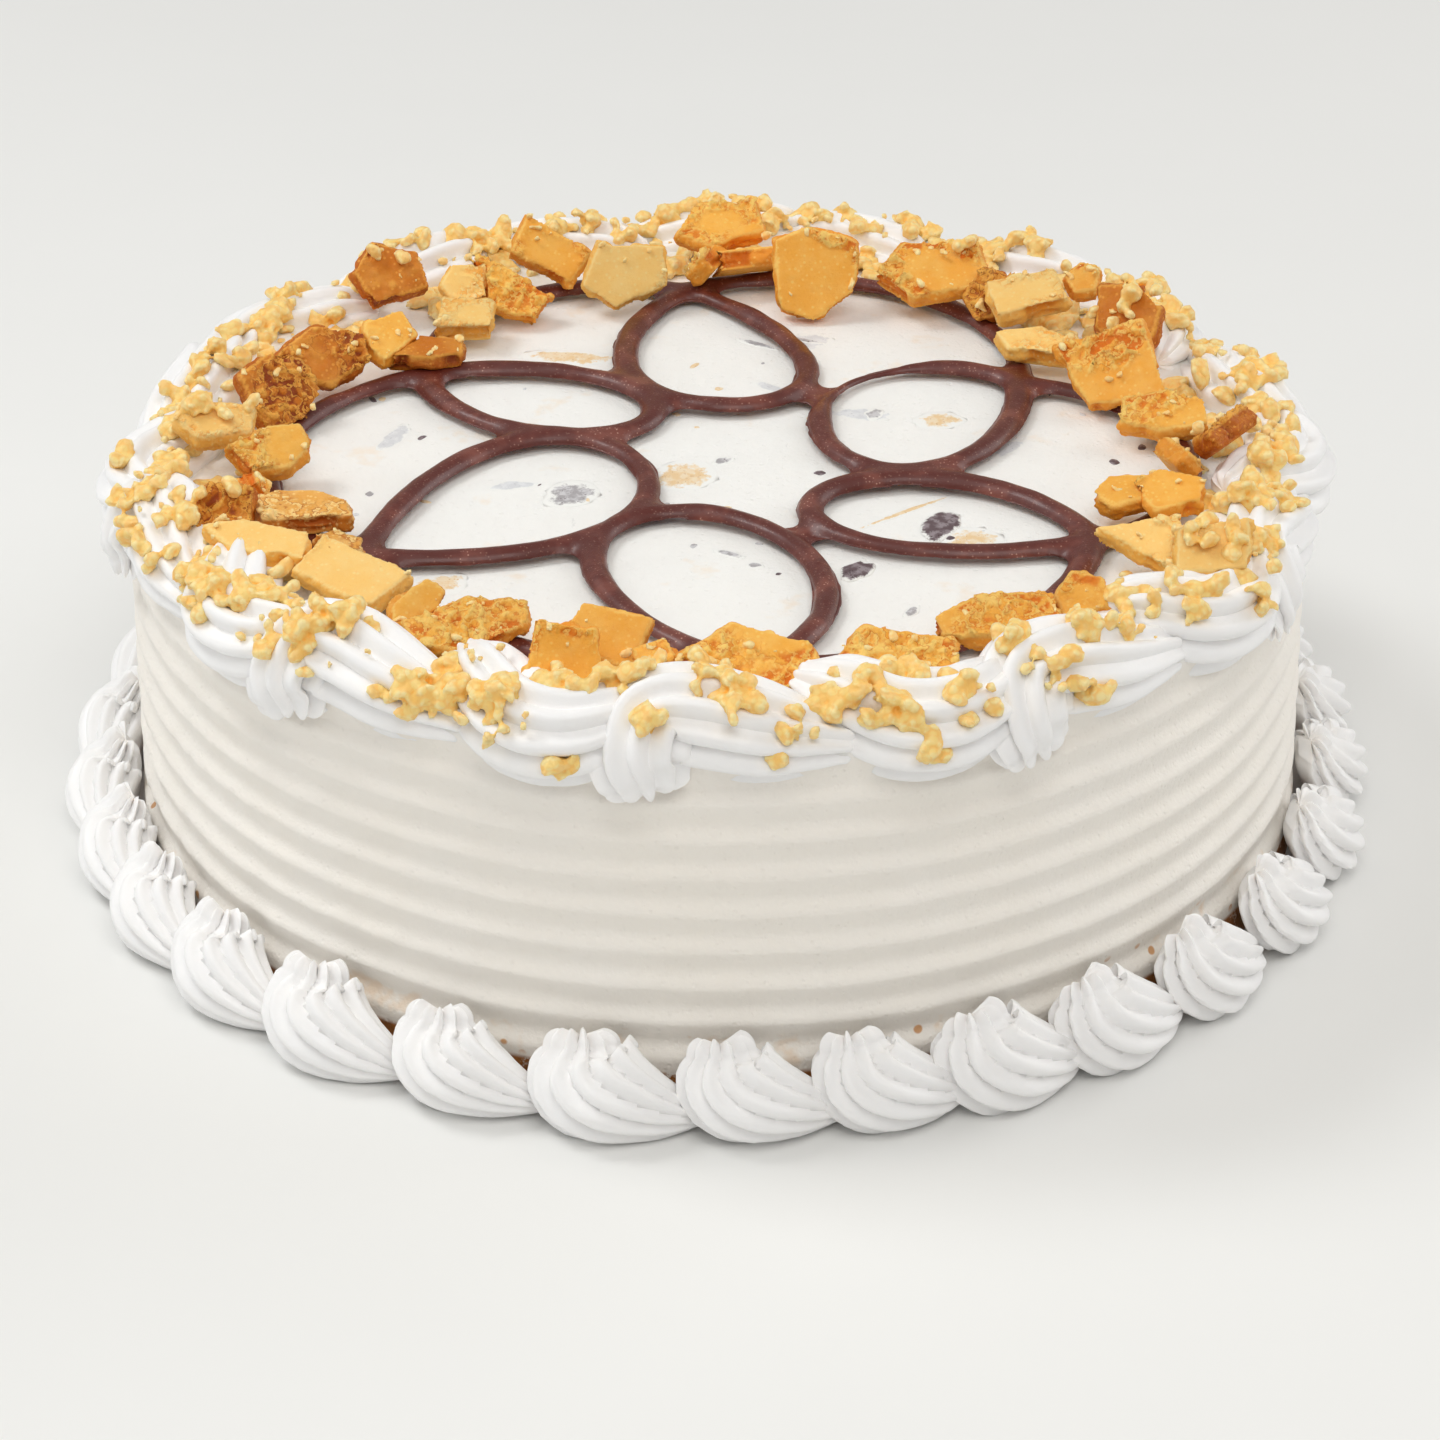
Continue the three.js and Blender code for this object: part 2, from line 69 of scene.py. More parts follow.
# Stops along a stroke: degrees after the fan, radius, height and thickness of the cream, and how
# many times as wide as thick it is
FAN_STROKE = (
    (2, 126.5, 73.5, 3.8, 2.3),
    (1.4, 125.5, 79, 6.8, 1.5),
    (2.4, 120.5, 83.4, 9.2, 1.12),
    (6.5, 118, 83, 10.8, 1),
    (13, 119.5, 80.8, 9.6, 1),
    (20, 121, 79, 5.4, 1),
)
SWAG_STROKE = (
    (17, 108, 85, 4.5, 1),
    (20, 112.5, 83.5, 8.8, 1),
    (25, 119.5, 80.6, 10.8, 1),
    (30, 122, 80.6, 10.4, 1),
    (34.5, 120, 82.5, 8.3, 1),
    (38, 115, 83.5, 5, 1),
)
# Towards the back the border sits lower: its drop there, and the degrees from the front where the
# drop starts and is whole
BACK_DROP = 4.5
DROP_START = 45
DROP_END = 105
# The nozzle's ridges lie within a spread of degrees round the way that the stroke faces. Valleys are
# shares of the thickness, at the start and at the end.
FAN_NOZZLE = {
    "stations": 34,
    "sides": 68,
    "ridges": 7,
    "spread": (-106, 106),
    "valleys": (0.42, 0.27),
    "fingers": 0.6,
    "face_rise": 1.0,
    "twist": 0,
}
SWAG_NOZZLE = {**FAN_NOZZLE, "valleys": (0.3, 0.27), "fingers": 0.15}
# The plain back of a stroke is this share as thick as its face
BACK_SHARE = 0.72

# Shells round the foot
SHELL_COUNT = 30
FIRST_SHELL = 2.6
SHELL_DRIFT = 1.4
SHELL_WAVES = 4
SHELL_UNEVENNESS = 0.06
# Stops along a shell: degrees after its middle, radius, height, thickness and widening
SHELL_STOPS = (
    (-3.7, 130.8, 16, 5, 1.5),
    (-3.5, 132, 13.2, 7.4, 1.4),
    (-2.6, 133.8, 10.2, 9, 1.25),
    (-0.5, 134.8, 8, 9.4, 1.08),
    (2.8, 134.6, 5.6, 6.8, 1),
    (6.5, 133.2, 3, 2.4, 1),
)
SHELL_NOZZLE = {
    "stations": 22,
    "sides": 72,
    "ridges": 9,
    "spread": (-116, 116),
    "valleys": (0.46, 0.24),
    "fingers": 0.6,
    "face_rise": 0.8,
    "twist": 52,
}
# Shells keep outside this radius
SHELL_WALL = 127.2
# Pearls of cream between shells and side: degrees and height
PEARLS = ((-61.5, 14), (-50.3, 12), (-40.2, 11.2))
PEARL_RADIUS = 130.4
PEARL_SIZE = (2.4, 2.4, 3.3)

# Fudge bead
BEAD_WIDTH = 6
BEAD_HEIGHT = 3.8
BEAD_FOOT = 80.1
BEAD_SIDES = 16
PETAL_STATIONS = 120
RING_SPAN_STATIONS = 60
FUDGE_VOXEL = 0.96
FUDGE_WEB = 1.6
# Petals: axis in degrees, inner and outer end, half width, pointedness of the tip, sideways
# bend, and how far the outer ring bulges between this petal's tip and the next
PETALS = (
    (-177.8, 21, 83, 24.6, 0.76, 4.1, 12),
    (-121.5, 20, 74, 18.4, 0.51, 2.7, 14),
    (-59, 18, 88, 29.3, 0.88, 5.5, 5),
    (-0.9, 30, 93, 25.1, 0.32, 7.3, 8),
    (55.9, 30, 87, 19.7, 0.51, 6.8, 19),
    (110.9, 23, 73, 26.7, 0.44, 6.8, 14),
)

# Slabs of crisp candy
SLAB_VOXEL = 0.6
# How far in from a slab's outline crumbs cling to it
CLINGING_REACH = 4


def random_stream(seed):
    """The same repeatable random numbers from 0 to 1 as the solids are made with."""
    whole = 0xFFFFFFFF
    state = seed

    def draw():
        nonlocal state
        state = (state + 0x6D2B79F5) & whole
        mixed = ((state ^ (state >> 15)) * (1 | state)) & whole
        mixed = ((mixed + (mixed ^ (mixed >> 7)) * (61 | mixed)) & whole) ^ mixed
        return (mixed ^ (mixed >> 14)) / 2**32

    return draw


def around(degrees, radius, height):
    """Points by their degrees round the cake from the front, radius and height."""
    angle = np.radians(degrees)
    parts = np.broadcast_arrays(radius * np.sin(angle), -radius * np.cos(angle), height)
    return np.stack(parts, axis=-1).astype(float)


def all_round(count):
    """Even degrees all round, as one row."""
    return np.linspace(-180, 180, count, endpoint=False)[None, :]


def normalised(vectors):
    return vectors / np.linalg.norm(vectors, axis=-1, keepdims=True)


def smoothstep(low, high, values):
    share = np.clip((values - low) / (high - low), 0, 1)
    return share * share * (3 - 2 * share)


def lattice(cells, seed):
    """A repeatable value from 0 to 1 for each whole-number cell."""
    mixed = cells[..., 0] * 73856093 ^ cells[..., 1] * 19349663 ^ cells[..., 2] * 83492791
    mixed = (mixed ^ seed * 2654435761) & 0xFFFFFFFF
    mixed = ((mixed ^ (mixed >> 15)) * 2246822519) & 0xFFFFFFFF
    mixed = ((mixed ^ (mixed >> 13)) * 3266489917) & 0xFFFFFFFF
    return (mixed ^ (mixed >> 16)) / 2**32


def noise(points, size, seed):
    """Smooth noise from -1 to 1, with lumps about as wide as size, a number or one for each axis."""
    scaled = points / np.asarray(size, float)
    cell = np.floor(scaled).astype(np.int64)
    part = scaled - cell
    ease = part * part * (3 - 2 * part)
    total = np.zeros(points.shape[:-1])
    for corner in itertools.product((0, 1), repeat=3):
        weight = np.prod(np.where(corner, ease, 1 - ease), axis=-1)
        total += weight * lattice(cell + np.array(corner), seed)
    return 2 * total - 1


def rough_noise(points, size, seed, layers=3):
    """Noise with finer and weaker layers on top of the first."""
    total = np.zeros(points.shape[:-1])
    for layer in range(layers):
        total += noise(points, np.asarray(size, float) / 2**layer, seed + 31 * layer) / 2**layer
    return total / (2 - 2.0 ** (1 - layers))


def cell_distance(points, size, seed):
    """The distance to the nearest of a set of scattered seeds, in shares of their spacing."""
    scaled = points / size
    cell = np.floor(scaled).astype(np.int64)
    nearest = np.full(points.shape[:-1], 9.0)
    for shift in itertools.product((-1, 0, 1), repeat=3):
        near = cell + np.array(shift)
        place = np.stack([lattice(near, seed + axis) for axis in range(3)], axis=-1)
        nearest = np.minimum(nearest, np.linalg.norm(near + place - scaled, axis=-1))
    return nearest


def smooth_path(stops, count):
    """A smooth curve through every stop, at an even count of places."""
    stops = np.asarray(stops, float)
    padded = np.concatenate([2 * stops[:1] - stops[1:2], stops, 2 * stops[-1:] - stops[-2:-1]])
    where = np.linspace(0, len(stops) - 1, count)
    start = np.minimum(where.astype(int), len(stops) - 2)
    t = (where - start)[:, None]
    a, b, c, d = (padded[start + step] for step in range(4))
    curve = 2 * b + (c - a) * t + (2 * a - 5 * b + 4 * c - d) * t**2
    return (curve + (3 * b - a - 3 * c + d) * t**3) / 2


def skin(rings, sides, closed=False):
    """The four-sided faces over rings of points, each ring with the same number of sides."""
    spans = rings if closed else rings - 1
    ring, side = np.meshgrid(np.arange(spans), np.arange(sides), indexing="ij")
    near = ring * sides
    far = (ring + 1) % rings * sides
    following = (side + 1) % sides
    corners = [near + side, near + following, far + following, far + side]
    return np.stack(corners, axis=-1).reshape(-1, 4)


def end_fan(first, sides, tip, turned):
    """Three-sided faces, written with a repeated corner, from one ring to a point."""
    side = np.arange(sides)
    following = (side + 1) % sides
    pair = (following, side) if turned else (side, following)
    tips = np.full(sides, tip)
    return np.stack([first + pair[0], first + pair[1], tips, tips], axis=-1)


def closed_skin(rings):
    """Points and faces of a closed body from rings of points and a point at each end, facing out."""
    count, sides = rings.shape[:2]
    ends = [rings[0].mean(axis=0), rings[-1].mean(axis=0)]
    points = np.concatenate([rings.reshape(-1, 3), ends])
    first_tip = count * sides
    faces = [
        skin(count, sides),
        end_fan(0, sides, first_tip, True),
        end_fan((count - 1) * sides, sides, first_tip + 1, False),
    ]
    return points, facing_out(points, np.concatenate(faces))


def joined(bodies):
    """Several bodies of points and faces as one."""
    points, faces, start = [], [], 0
    for body_points, body_faces in bodies:
        points.append(body_points)
        faces.append(body_faces + start)
        start += len(body_points)
    return np.concatenate(points), np.concatenate(faces)


def facing_out(points, faces):
    """The faces, turned if they face into the body."""
    a, b, c, d = (points[faces[:, corner]] for corner in range(4))
    volume = np.einsum("ij,ij->", a, np.cross(b, c)) + np.einsum("ij,ij->", a, np.cross(c, d))
    return faces if volume > 0 else faces[:, ::-1]


def make_mesh(name, points, faces):
    """A mesh from points in millimetres. A face with a repeated corner has three sides."""
    rows = [row[:3] if row[2] == row[3] else row for row in faces.tolist()]
    mesh = bpy.data.meshes.new(name)
    mesh.from_pydata((points * MM).tolist(), [], rows)
    mesh.shade_smooth()
    return mesh


def added(name, data):
    """A new object in the scene, with its mesh, light or camera."""
    made = bpy.data.objects.new(name, data)
    bpy.context.scene.collection.objects.link(made)
    return made


def add_piece(name, mesh, material, nodes=(), sharp_angle=None):
    """A piece of the cake in the scene, standing for the named solids."""
    piece = added(name, mesh)
    mesh.materials.clear()
    mesh.materials.append(material)
    if sharp_angle is not None:
        mesh.set_sharp_from_angle(angle=math.radians(sharp_angle))
    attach(piece, "root")
    if nodes:
        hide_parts(*nodes)


def store(mesh, name, values):
    """A named number for each point of a mesh, for its material."""
    attribute = mesh.attributes.new(name, "FLOAT", "POINT")
    attribute.data.foreach_set("value", np.asarray(values, np.float32))


def mesh_arrays(mesh):
    """Points in millimetres, and the outward direction at each."""
    points = np.empty(len(mesh.vertices) * 3)
    normals = np.empty(len(mesh.vertices) * 3)
    mesh.vertices.foreach_get("co", points)
    mesh.vertices.foreach_get("normal", normals)
    return points.reshape(-1, 3) / MM, normals.reshape(-1, 3)


def set_points(mesh, points):
    mesh.vertices.foreach_set("co", (points * MM).ravel())
    mesh.update()


def remeshed(mesh, voxel):
    """A copy of a closed mesh as one even skin, its overlapping parts blended into one."""
    helper = added("remesh_helper", mesh.copy())
    modifier = helper.modifiers.new("even_skin", "REMESH")
    modifier.mode = "VOXEL"
    modifier.voxel_size = voxel * MM
    graph = bpy.context.evaluated_depsgraph_get()
    made = bpy.data.meshes.new_from_object(helper.evaluated_get(graph))
    bpy.data.objects.remove(helper)
    made.shade_smooth()
    return made


def relaxed(mesh, rounds, share):
    """Moves each point of a mesh towards the middle of its neighbours."""
    edges = np.empty(len(mesh.edges) * 2, np.int64)
    mesh.edges.foreach_get("vertices", edges)
    edges = edges.reshape(-1, 2)
    points, _ = mesh_arrays(mesh)
    ends = np.concatenate([edges, edges[:, ::-1]])
    counts = np.bincount(ends[:, 0], minlength=len(points))[:, None]
    for _ in range(rounds):
        sums = [np.bincount(ends[:, 0], points[ends[:, 1], axis], len(points)) for axis in range(3)]
        points = points + share * (np.stack(sums, axis=-1) / counts - points)
    set_points(mesh, points)


# Materials

def rgb(red, green, blue):
    """A screen colour, 0 to 255, as the linear colour that shaders take."""
    shares = np.array([red, green, blue]) / 255
    linear = np.where(shares <= 0.04045, shares / 12.92, ((shares + 0.055) / 1.055) ** 2.4)
    return (*linear.tolist(), 1.0)


class Finish:
    """A material being made: nodes are added with their inputs, as values or other nodes' outputs."""

    def __init__(self, name, **settings):
        self.material = bpy.data.materials.new(name)
        self.material.use_nodes = True
        self.tree = self.material.node_tree
        self.shader = self.tree.nodes["Principled BSDF"]
        # This way of sinking light is the quickest, and looks alike at such small depths
        self.shader.subsurface_method = "BURLEY"
        self.set(**settings)

    def set(self, **settings):
        """Sets or links inputs of the shader. Their names have _ for a space."""
        for name, value in settings.items():
            self.join(self.shader.inputs[name.replace("_", " ")], value)

    def join(self, socket, value):
        if isinstance(value, bpy.types.NodeSocket):
            self.tree.links.new(value, socket)
        else:
            socket.default_value = value

    def node(self, kind, inputs, output=0, **properties):
        made = self.tree.nodes.new("ShaderNode" + kind)
        for name, value in properties.items():
            setattr(made, name, value)
        for name, value in inputs.items():
            self.join(made.inputs[name], value)
        return made.outputs[output]

    def place(self, stretch=(1, 1, 1)):
        """Where a point is on the cake, in millimetres, squeezed along some axes."""
        spot = self.node("TexCoord", {}, "Object")
        scale = tuple(1000 * share for share in stretch)
        return self.node("Mapping", {"Vector": spot, "Scale": scale})

    def noise(self, size, detail=3.0, roughness=0.55, place=None):
        inputs = {
            "Vector": place or self.place(),
            "Scale": 1 / size,
            "Detail": detail,
            "Roughness": roughness,
        }
        return self.node("TexNoise", inputs, "Fac")

    def cells(self, size):
        inputs = {"Vector": self.place(), "Scale": 1 / size}
        return self.node("TexVoronoi", inputs, "Distance")

    def stored(self, name):
        return self.node("Attribute", {}, "Fac", attribute_name=name)

    def ramp(self, value, low, high, start=0.0, end=1.0):
        """Start up to low, end from high on, and a smooth change between."""
        inputs = {"Value": value, "From Min": low, "From Max": high, "To Min": start, "To Max": end}
        return self.node("MapRange", inputs, "Result", interpolation_type="SMOOTHSTEP")

    def math(self, operation, first, second):
        return self.node("Math", {0: first, 1: second}, operation=operation)

    def times(self, first, second):
        return self.math("MULTIPLY", first, second)

    def mix(self, share, first, second):
        """A mix of two colours, each a node's output or three numbers from 0 to 255."""
        first, second = (rgb(*each) if isinstance(each, tuple) else each for each in (first, second))
        return self.node("Mix", {0: share, 6: first, 7: second}, 2, data_type="RGBA")

    def layered(self, colour, *layers):
        """Tints laid over a colour one by one, each where its mask is and as strong as its share."""
        for tint, mask, share in layers:
            colour = self.mix(self.times(mask, share), colour, tint)
        return colour

    def axis(self, name):
        return self.node("SeparateXYZ", {0: self.place()}, name)

    def bump(self, height, depth, under=None):
        """Relief in the shading, as deep as depth in millimetres."""
        inputs = {"Height": height, "Strength": 1.0, "Distance": depth * MM}
        if under is not None:
            inputs["Normal"] = under
        return self.node("Bump", inputs)


def cream_settings(depth):
    """Settings of soft whipped cream, with light that sinks in as deep as depth in millimetres."""
    return {
        "Subsurface_Weight": 0.25,
        "Subsurface_Radius": (1.0, 0.85, 0.7),
        "Subsurface_Scale": depth * MM,
        "Specular_IOR_Level": 0.4,
    }


def body_finish():
    """Ivory cream, whiter on top and stained there, with brown in patches and specks near the foot."""
    finish = Finish("body_cream", **cream_settings(1.6))
    height = finish.axis("Z")
    cream = finish.mix(finish.noise(24), (248, 242, 232), (250, 246, 240))
    # Brown in noisy patches low on the side, below about 8.8 mm
    low = finish.ramp(height, 7.4, 8.8, 1.0, 0.0)
    brown_foot_patches = finish.ramp(finish.noise(5.5, 5.0, 0.7), 0.36, 0.46)
    brown = finish.mix(finish.noise(3), (104, 58, 28), (196, 128, 62))
    band = finish.times(finish.ramp(height, 8, 11), finish.ramp(height, 14, 18, 1.0, 0.0))
    patches = finish.times(band, finish.ramp(finish.noise(9, 3.0), 0.56, 0.7))
    specks = finish.times(band, finish.ramp(finish.cells(7), 0.1, 0.16, 1.0, 0.0))
    top = finish.ramp(height, 79.3, 79.8)
    stains = finish.ramp(finish.noise(17, 4.0, 0.6), 0.6, 0.72)
    streaks = finish.ramp(finish.noise(3.2, 5.0, 0.7, finish.place((1, 0.35, 1))), 0.66, 0.74)
    colour = finish.layered(
        cream,
        ((250, 249, 245), finish.ramp(height, 76, 79.5), 1.0),
        (brown, low, brown_foot_patches),
        ((232, 186, 128), patches, 0.35),
        ((206, 142, 70), specks, 0.85),
        ((246, 214, 170), top, finish.times(stains, 0.28)),
        ((178, 178, 176), top, finish.times(streaks, 0.22)),
    )
    grain = finish.bump(finish.noise(1.1, 4.0, 0.65), 0.22)
    pits = finish.bump(finish.ramp(finish.cells(1.9), 0.05, 0.3), 0.1, grain)
    rough = finish.ramp(finish.noise(6), 0.3, 0.7, 0.42, 0.6)
    finish.set(Base_Color=colour, Roughness=rough, Normal=pits)
    return finish.material


def piped_finish():
    """White whipped cream, smooth and softly glossy."""
    finish = Finish("piped_cream", **cream_settings(1.4))
    cream = finish.mix(finish.noise(15), (249, 249, 250), (252, 251, 250))
    grain = finish.bump(finish.noise(0.9, 4.0, 0.6), 0.07)
    rough = finish.ramp(finish.noise(5), 0.3, 0.7, 0.3, 0.46)
    finish.set(Base_Color=cream, Roughness=rough, Normal=grain)
    return finish.material


def fudge_finish():
    """Dark fudge with frosted patches, partly a film of frost and partly painted sheen, and fine pale
    specks painted in as glints, brightest in those patches.
    """
    finish = Finish("chocolate_fudge", Specular_IOR_Level=0.5, Coat_Weight=0.22, Coat_Roughness=0.2)
    brown = finish.mix(finish.noise(9, 3.0), (80, 27, 17), (102, 38, 28))
    # The frosted patches: partly a film of frost, partly painted sheen
    frost_and_sheen = finish.ramp(finish.noise(9, 3.0, 0.6), 0.46, 0.7)
    # Fine pale specks: painted glints, brightest in the frosted patches
    specks = finish.ramp(finish.cells(0.9), 0.12, 0.26, 1.0, 0.0)
    shine = finish.ramp(frost_and_sheen, 0, 1, 0.25, 0.9)
    colour = finish.layered(
        brown, ((158, 94, 78), frost_and_sheen, 0.35), ((196, 150, 132), specks, shine)
    )
    rough = finish.ramp(finish.noise(5), 0.35, 0.65, 0.33, 0.46)
    grain = finish.bump(finish.noise(0.6, 4.0, 0.7), 0.09)
    finish.set(Base_Color=colour, Roughness=rough, Normal=grain)
    return finish.material


def candy_settings(weight, radius, depth):
    """Settings of candy that lets a little light in, as deep as depth in millimetres."""
    return {
        "Subsurface_Weight": weight,
        "Subsurface_Radius": radius,
        "Subsurface_Scale": depth * MM,
    }


def candy_finish(name, face, shade_and_grain, raised, side):
    """Crisp candy: the colours of its face, of painted shade in its hollows and under its flake lips
    (also laid as fine grains), of its raised flakes (also painted highlights on its crests and flake
    lips, and at the rims of its faces partly pale flakes, partly painted light glowing through the thin
    edge) and of its broken sides.
    """
    settings = candy_settings(0.2, (1.0, 0.85, 0.6), 0.6)
    finish = Finish(name, Specular_IOR_Level=0.35, **settings)
    relief = finish.stored("relief")
    flaky = finish.stored("flaky")
    sheets = finish.math("FRACT", finish.times(finish.noise(5.5, 4.0, 0.6), 6.0), 0.0)
    colour = finish.layered(
        face,
        (raised, finish.ramp(finish.noise(7, 5.0, 0.65), 0.4, 0.68), 0.35),
        (side, finish.stored("side"), 0.85),
        # The rims of the face: partly pale flakes, partly painted light glowing through the thin edge
        (raised, finish.stored("rim"), 0.8),
        # Painted shade in the hollows and painted highlight on the crests
        (shade_and_grain, finish.ramp(relief, 0.46, 0.26), 1.0),
        (raised, finish.ramp(relief, 0.58, 0.8), 1.0),
        # Painted shadow just under each flake's lip and painted highlight along the lip
        (shade_and_grain, finish.times(flaky, finish.ramp(sheets, 0.3, 0.04)), 0.65),
        (raised, finish.times(flaky, finish.ramp(sheets, 0.62, 0.94)), 0.8),
        (shade_and_grain, finish.ramp(finish.noise(0.8, 4.0, 0.7), 0.56, 0.7), 0.2),
        (raised, finish.ramp(finish.cells(1.5), 0.14, 0.3, 1.0, 0.0), 0.55),
    )
    toned = {"Color": colour, "Value": finish.stored("tone"), "Saturation": 1.0}
    rough = finish.ramp(finish.noise(1.1), 0.35, 0.65, 0.45, 0.7)
    grain = finish.bump(finish.noise(0.55, 4.0, 0.75), 0.2)
    layered = finish.bump(finish.times(sheets, flaky), 0.45, grain)
    finish.set(Base_Color=finish.node("HueSaturation", toned), Roughness=rough, Normal=layered)
    return finish.material


def crumb_finish(name):
    """Pale golden crumbs of soft grains, with painted shade, a deeper orange, in the creases between them
    and painted highlights on their tips.
    """
    settings = candy_settings(0.35, (1.0, 0.95, 0.85), 0.45)
    finish = Finish(name, Roughness=0.36, Specular_IOR_Level=0.4, **settings)
    relief = finish.stored("relief")
    grains = finish.cells(1.8)
    colour = finish.layered(
        finish.mix(finish.noise(5, 2.0), (255, 214, 124), (255, 225, 145)),
        # Painted shade in the creases and painted highlight on the tips, by how far each point stands out
        ((255, 184, 72), finish.ramp(relief, 0.4, 0.1), 1.0),
        ((255, 234, 168), finish.ramp(relief, 0.55, 0.85), 1.0),
        ((255, 184, 76), finish.ramp(finish.noise(3.4, 4.0, 0.65), 0.5, 0.72), 0.3),
        # Painted shade in the creases between the grains
        ((255, 184, 72), finish.ramp(grains, 0.42, 0.7), 0.45),
    )
    rounded = finish.bump(finish.math("SUBTRACT", 1.0, grains), 0.5)
    grain = finish.bump(finish.noise(0.7, 4.0, 0.7), 0.16, rounded)
    finish.set(Base_Color=colour, Normal=grain)
    return finish.material


def inclusion_finish(name, base, film, flecks, film_share):
    """A piece in the top. A film of cream covers it partly, and wholly at its edge."""
    finish = Finish(name, Roughness=0.5)
    fading = finish.math("ADD", finish.noise(2.2, 5.0, 0.7), finish.stored("fading"))
    colour = finish.layered(
        base,
        (film, finish.ramp(finish.noise(1.8, 4.0), 0.42, 0.6), 1.0),
        (flecks, finish.ramp(finish.noise(0.9, 3.0, 0.7), 0.6, 0.66), 1.0),
        ((249, 249, 245), finish.ramp(fading, 0.66 - film_share, 0.86 - film_share), 1.0),
    )
    finish.set(Base_Color=colour, Normal=finish.bump(finish.noise(0.8), 0.12))
    return finish.material


# Cake body

def comb_inset(heights):
    """How far the combed side stands in at each height, its corners a little rounded."""
    stops, insets = [0.0], [0.0]
    for groove in range(GROOVE_COUNT):
        height = LOWEST_GROOVE + groove * GROOVE_PITCH
        stops.append(height - SHOULDER_DROP)
        insets.append(0.0)
        for rise, share in GROOVE_FLOOR:
            stops.append(height + rise)
            insets.append(share * GROOVE_DEPTH)
    stops.append(BODY_HEIGHT - TOP_EDGE_ROUNDING)
    insets.append(0.0)
    shifted = [np.interp(heights + shift, stops, insets) for shift in CORNER_SOFTENING]
    return sum(shifted) / len(CORNER_SOFTENING)


def side_rings():
    """Rings of the combed side, its grooves a little wavy and the cream uneven."""
    heights = np.linspace(0, BODY_HEIGHT - TOP_EDGE_ROUNDING, SIDE_ROWS)[:, None]
    degrees = all_round(BODY_SIDES)
    cone = FOOT_RADIUS + (TOP_RADIUS - FOOT_RADIUS) * heights / BODY_HEIGHT
    spots = around(degrees, cone, heights)
    wave = 0.45 * noise(spots, (38, 38, 60), SEED)
    inset = comb_inset(heights + wave)
    slope = np.abs(comb_inset(heights + wave + 0.7) - comb_inset(heights + wave - 0.7))
    lumps = rough_noise(spots, 3.6, SEED + 1, 2)
    swell = 0.32 * noise(spots, 30, SEED + 2) + 0.12 * noise(spots, 9, SEED + 3)
    rough_side = 0.35 + 0.65 * smoothstep(0, 60, -degrees)
    radius = cone - inset + swell + rough_side * (0.16 + 0.7 * slope) * lumps
    rows = np.repeat(heights, BODY_SIDES, axis=1)
    return around(degrees, radius, rows)


def top_rings():
    """Rings of the rounded edge and of the top, scraped flat with shallow marks."""
    turns = np.radians(np.linspace(15, 90, 5))
    edge = TOP_RADIUS - TOP_EDGE_ROUNDING
    radii = edge + TOP_EDGE_ROUNDING * np.cos(turns)
    heights = BODY_HEIGHT - TOP_EDGE_ROUNDING * (1 - np.sin(turns))
    inner = edge * np.linspace(1, 0, TOP_ROWS)[1:-1]
    radii = np.concatenate([radii, inner])[:, None]
    heights = np.concatenate([heights, np.full(len(inner), BODY_HEIGHT)])[:, None]
    rings = around(all_round(BODY_SIDES), radii, np.repeat(heights, BODY_SIDES, axis=1))
    flat = smoothstep(edge, edge - 8, radii)
    marks = 0.3 * noise(rings, (34, 8, 50), SEED + 4) + 0.12 * rough_noise(rings, 5, SEED + 5)
    rings[..., 2] += flat * marks
    return rings


def make_body():
    points, faces = closed_skin(np.concatenate([side_rings(), top_rings()]))
    mesh = make_mesh("cream_body", points, faces)
    add_piece("cream_body", mesh, body_finish(), ["cake_body"])
    return points, faces


# Piped cream

def ridged(angles, spread, ridges):
    """How much of a ridge each angle of a section is, from 0 in a valley to 1 on a ridge."""
    first, last = spread
    place = (angles - first) / (last - first) * (ridges - 1)
    return np.where((angles > first) & (angles < last), np.abs(np.cos(np.pi * place)), 1.0)


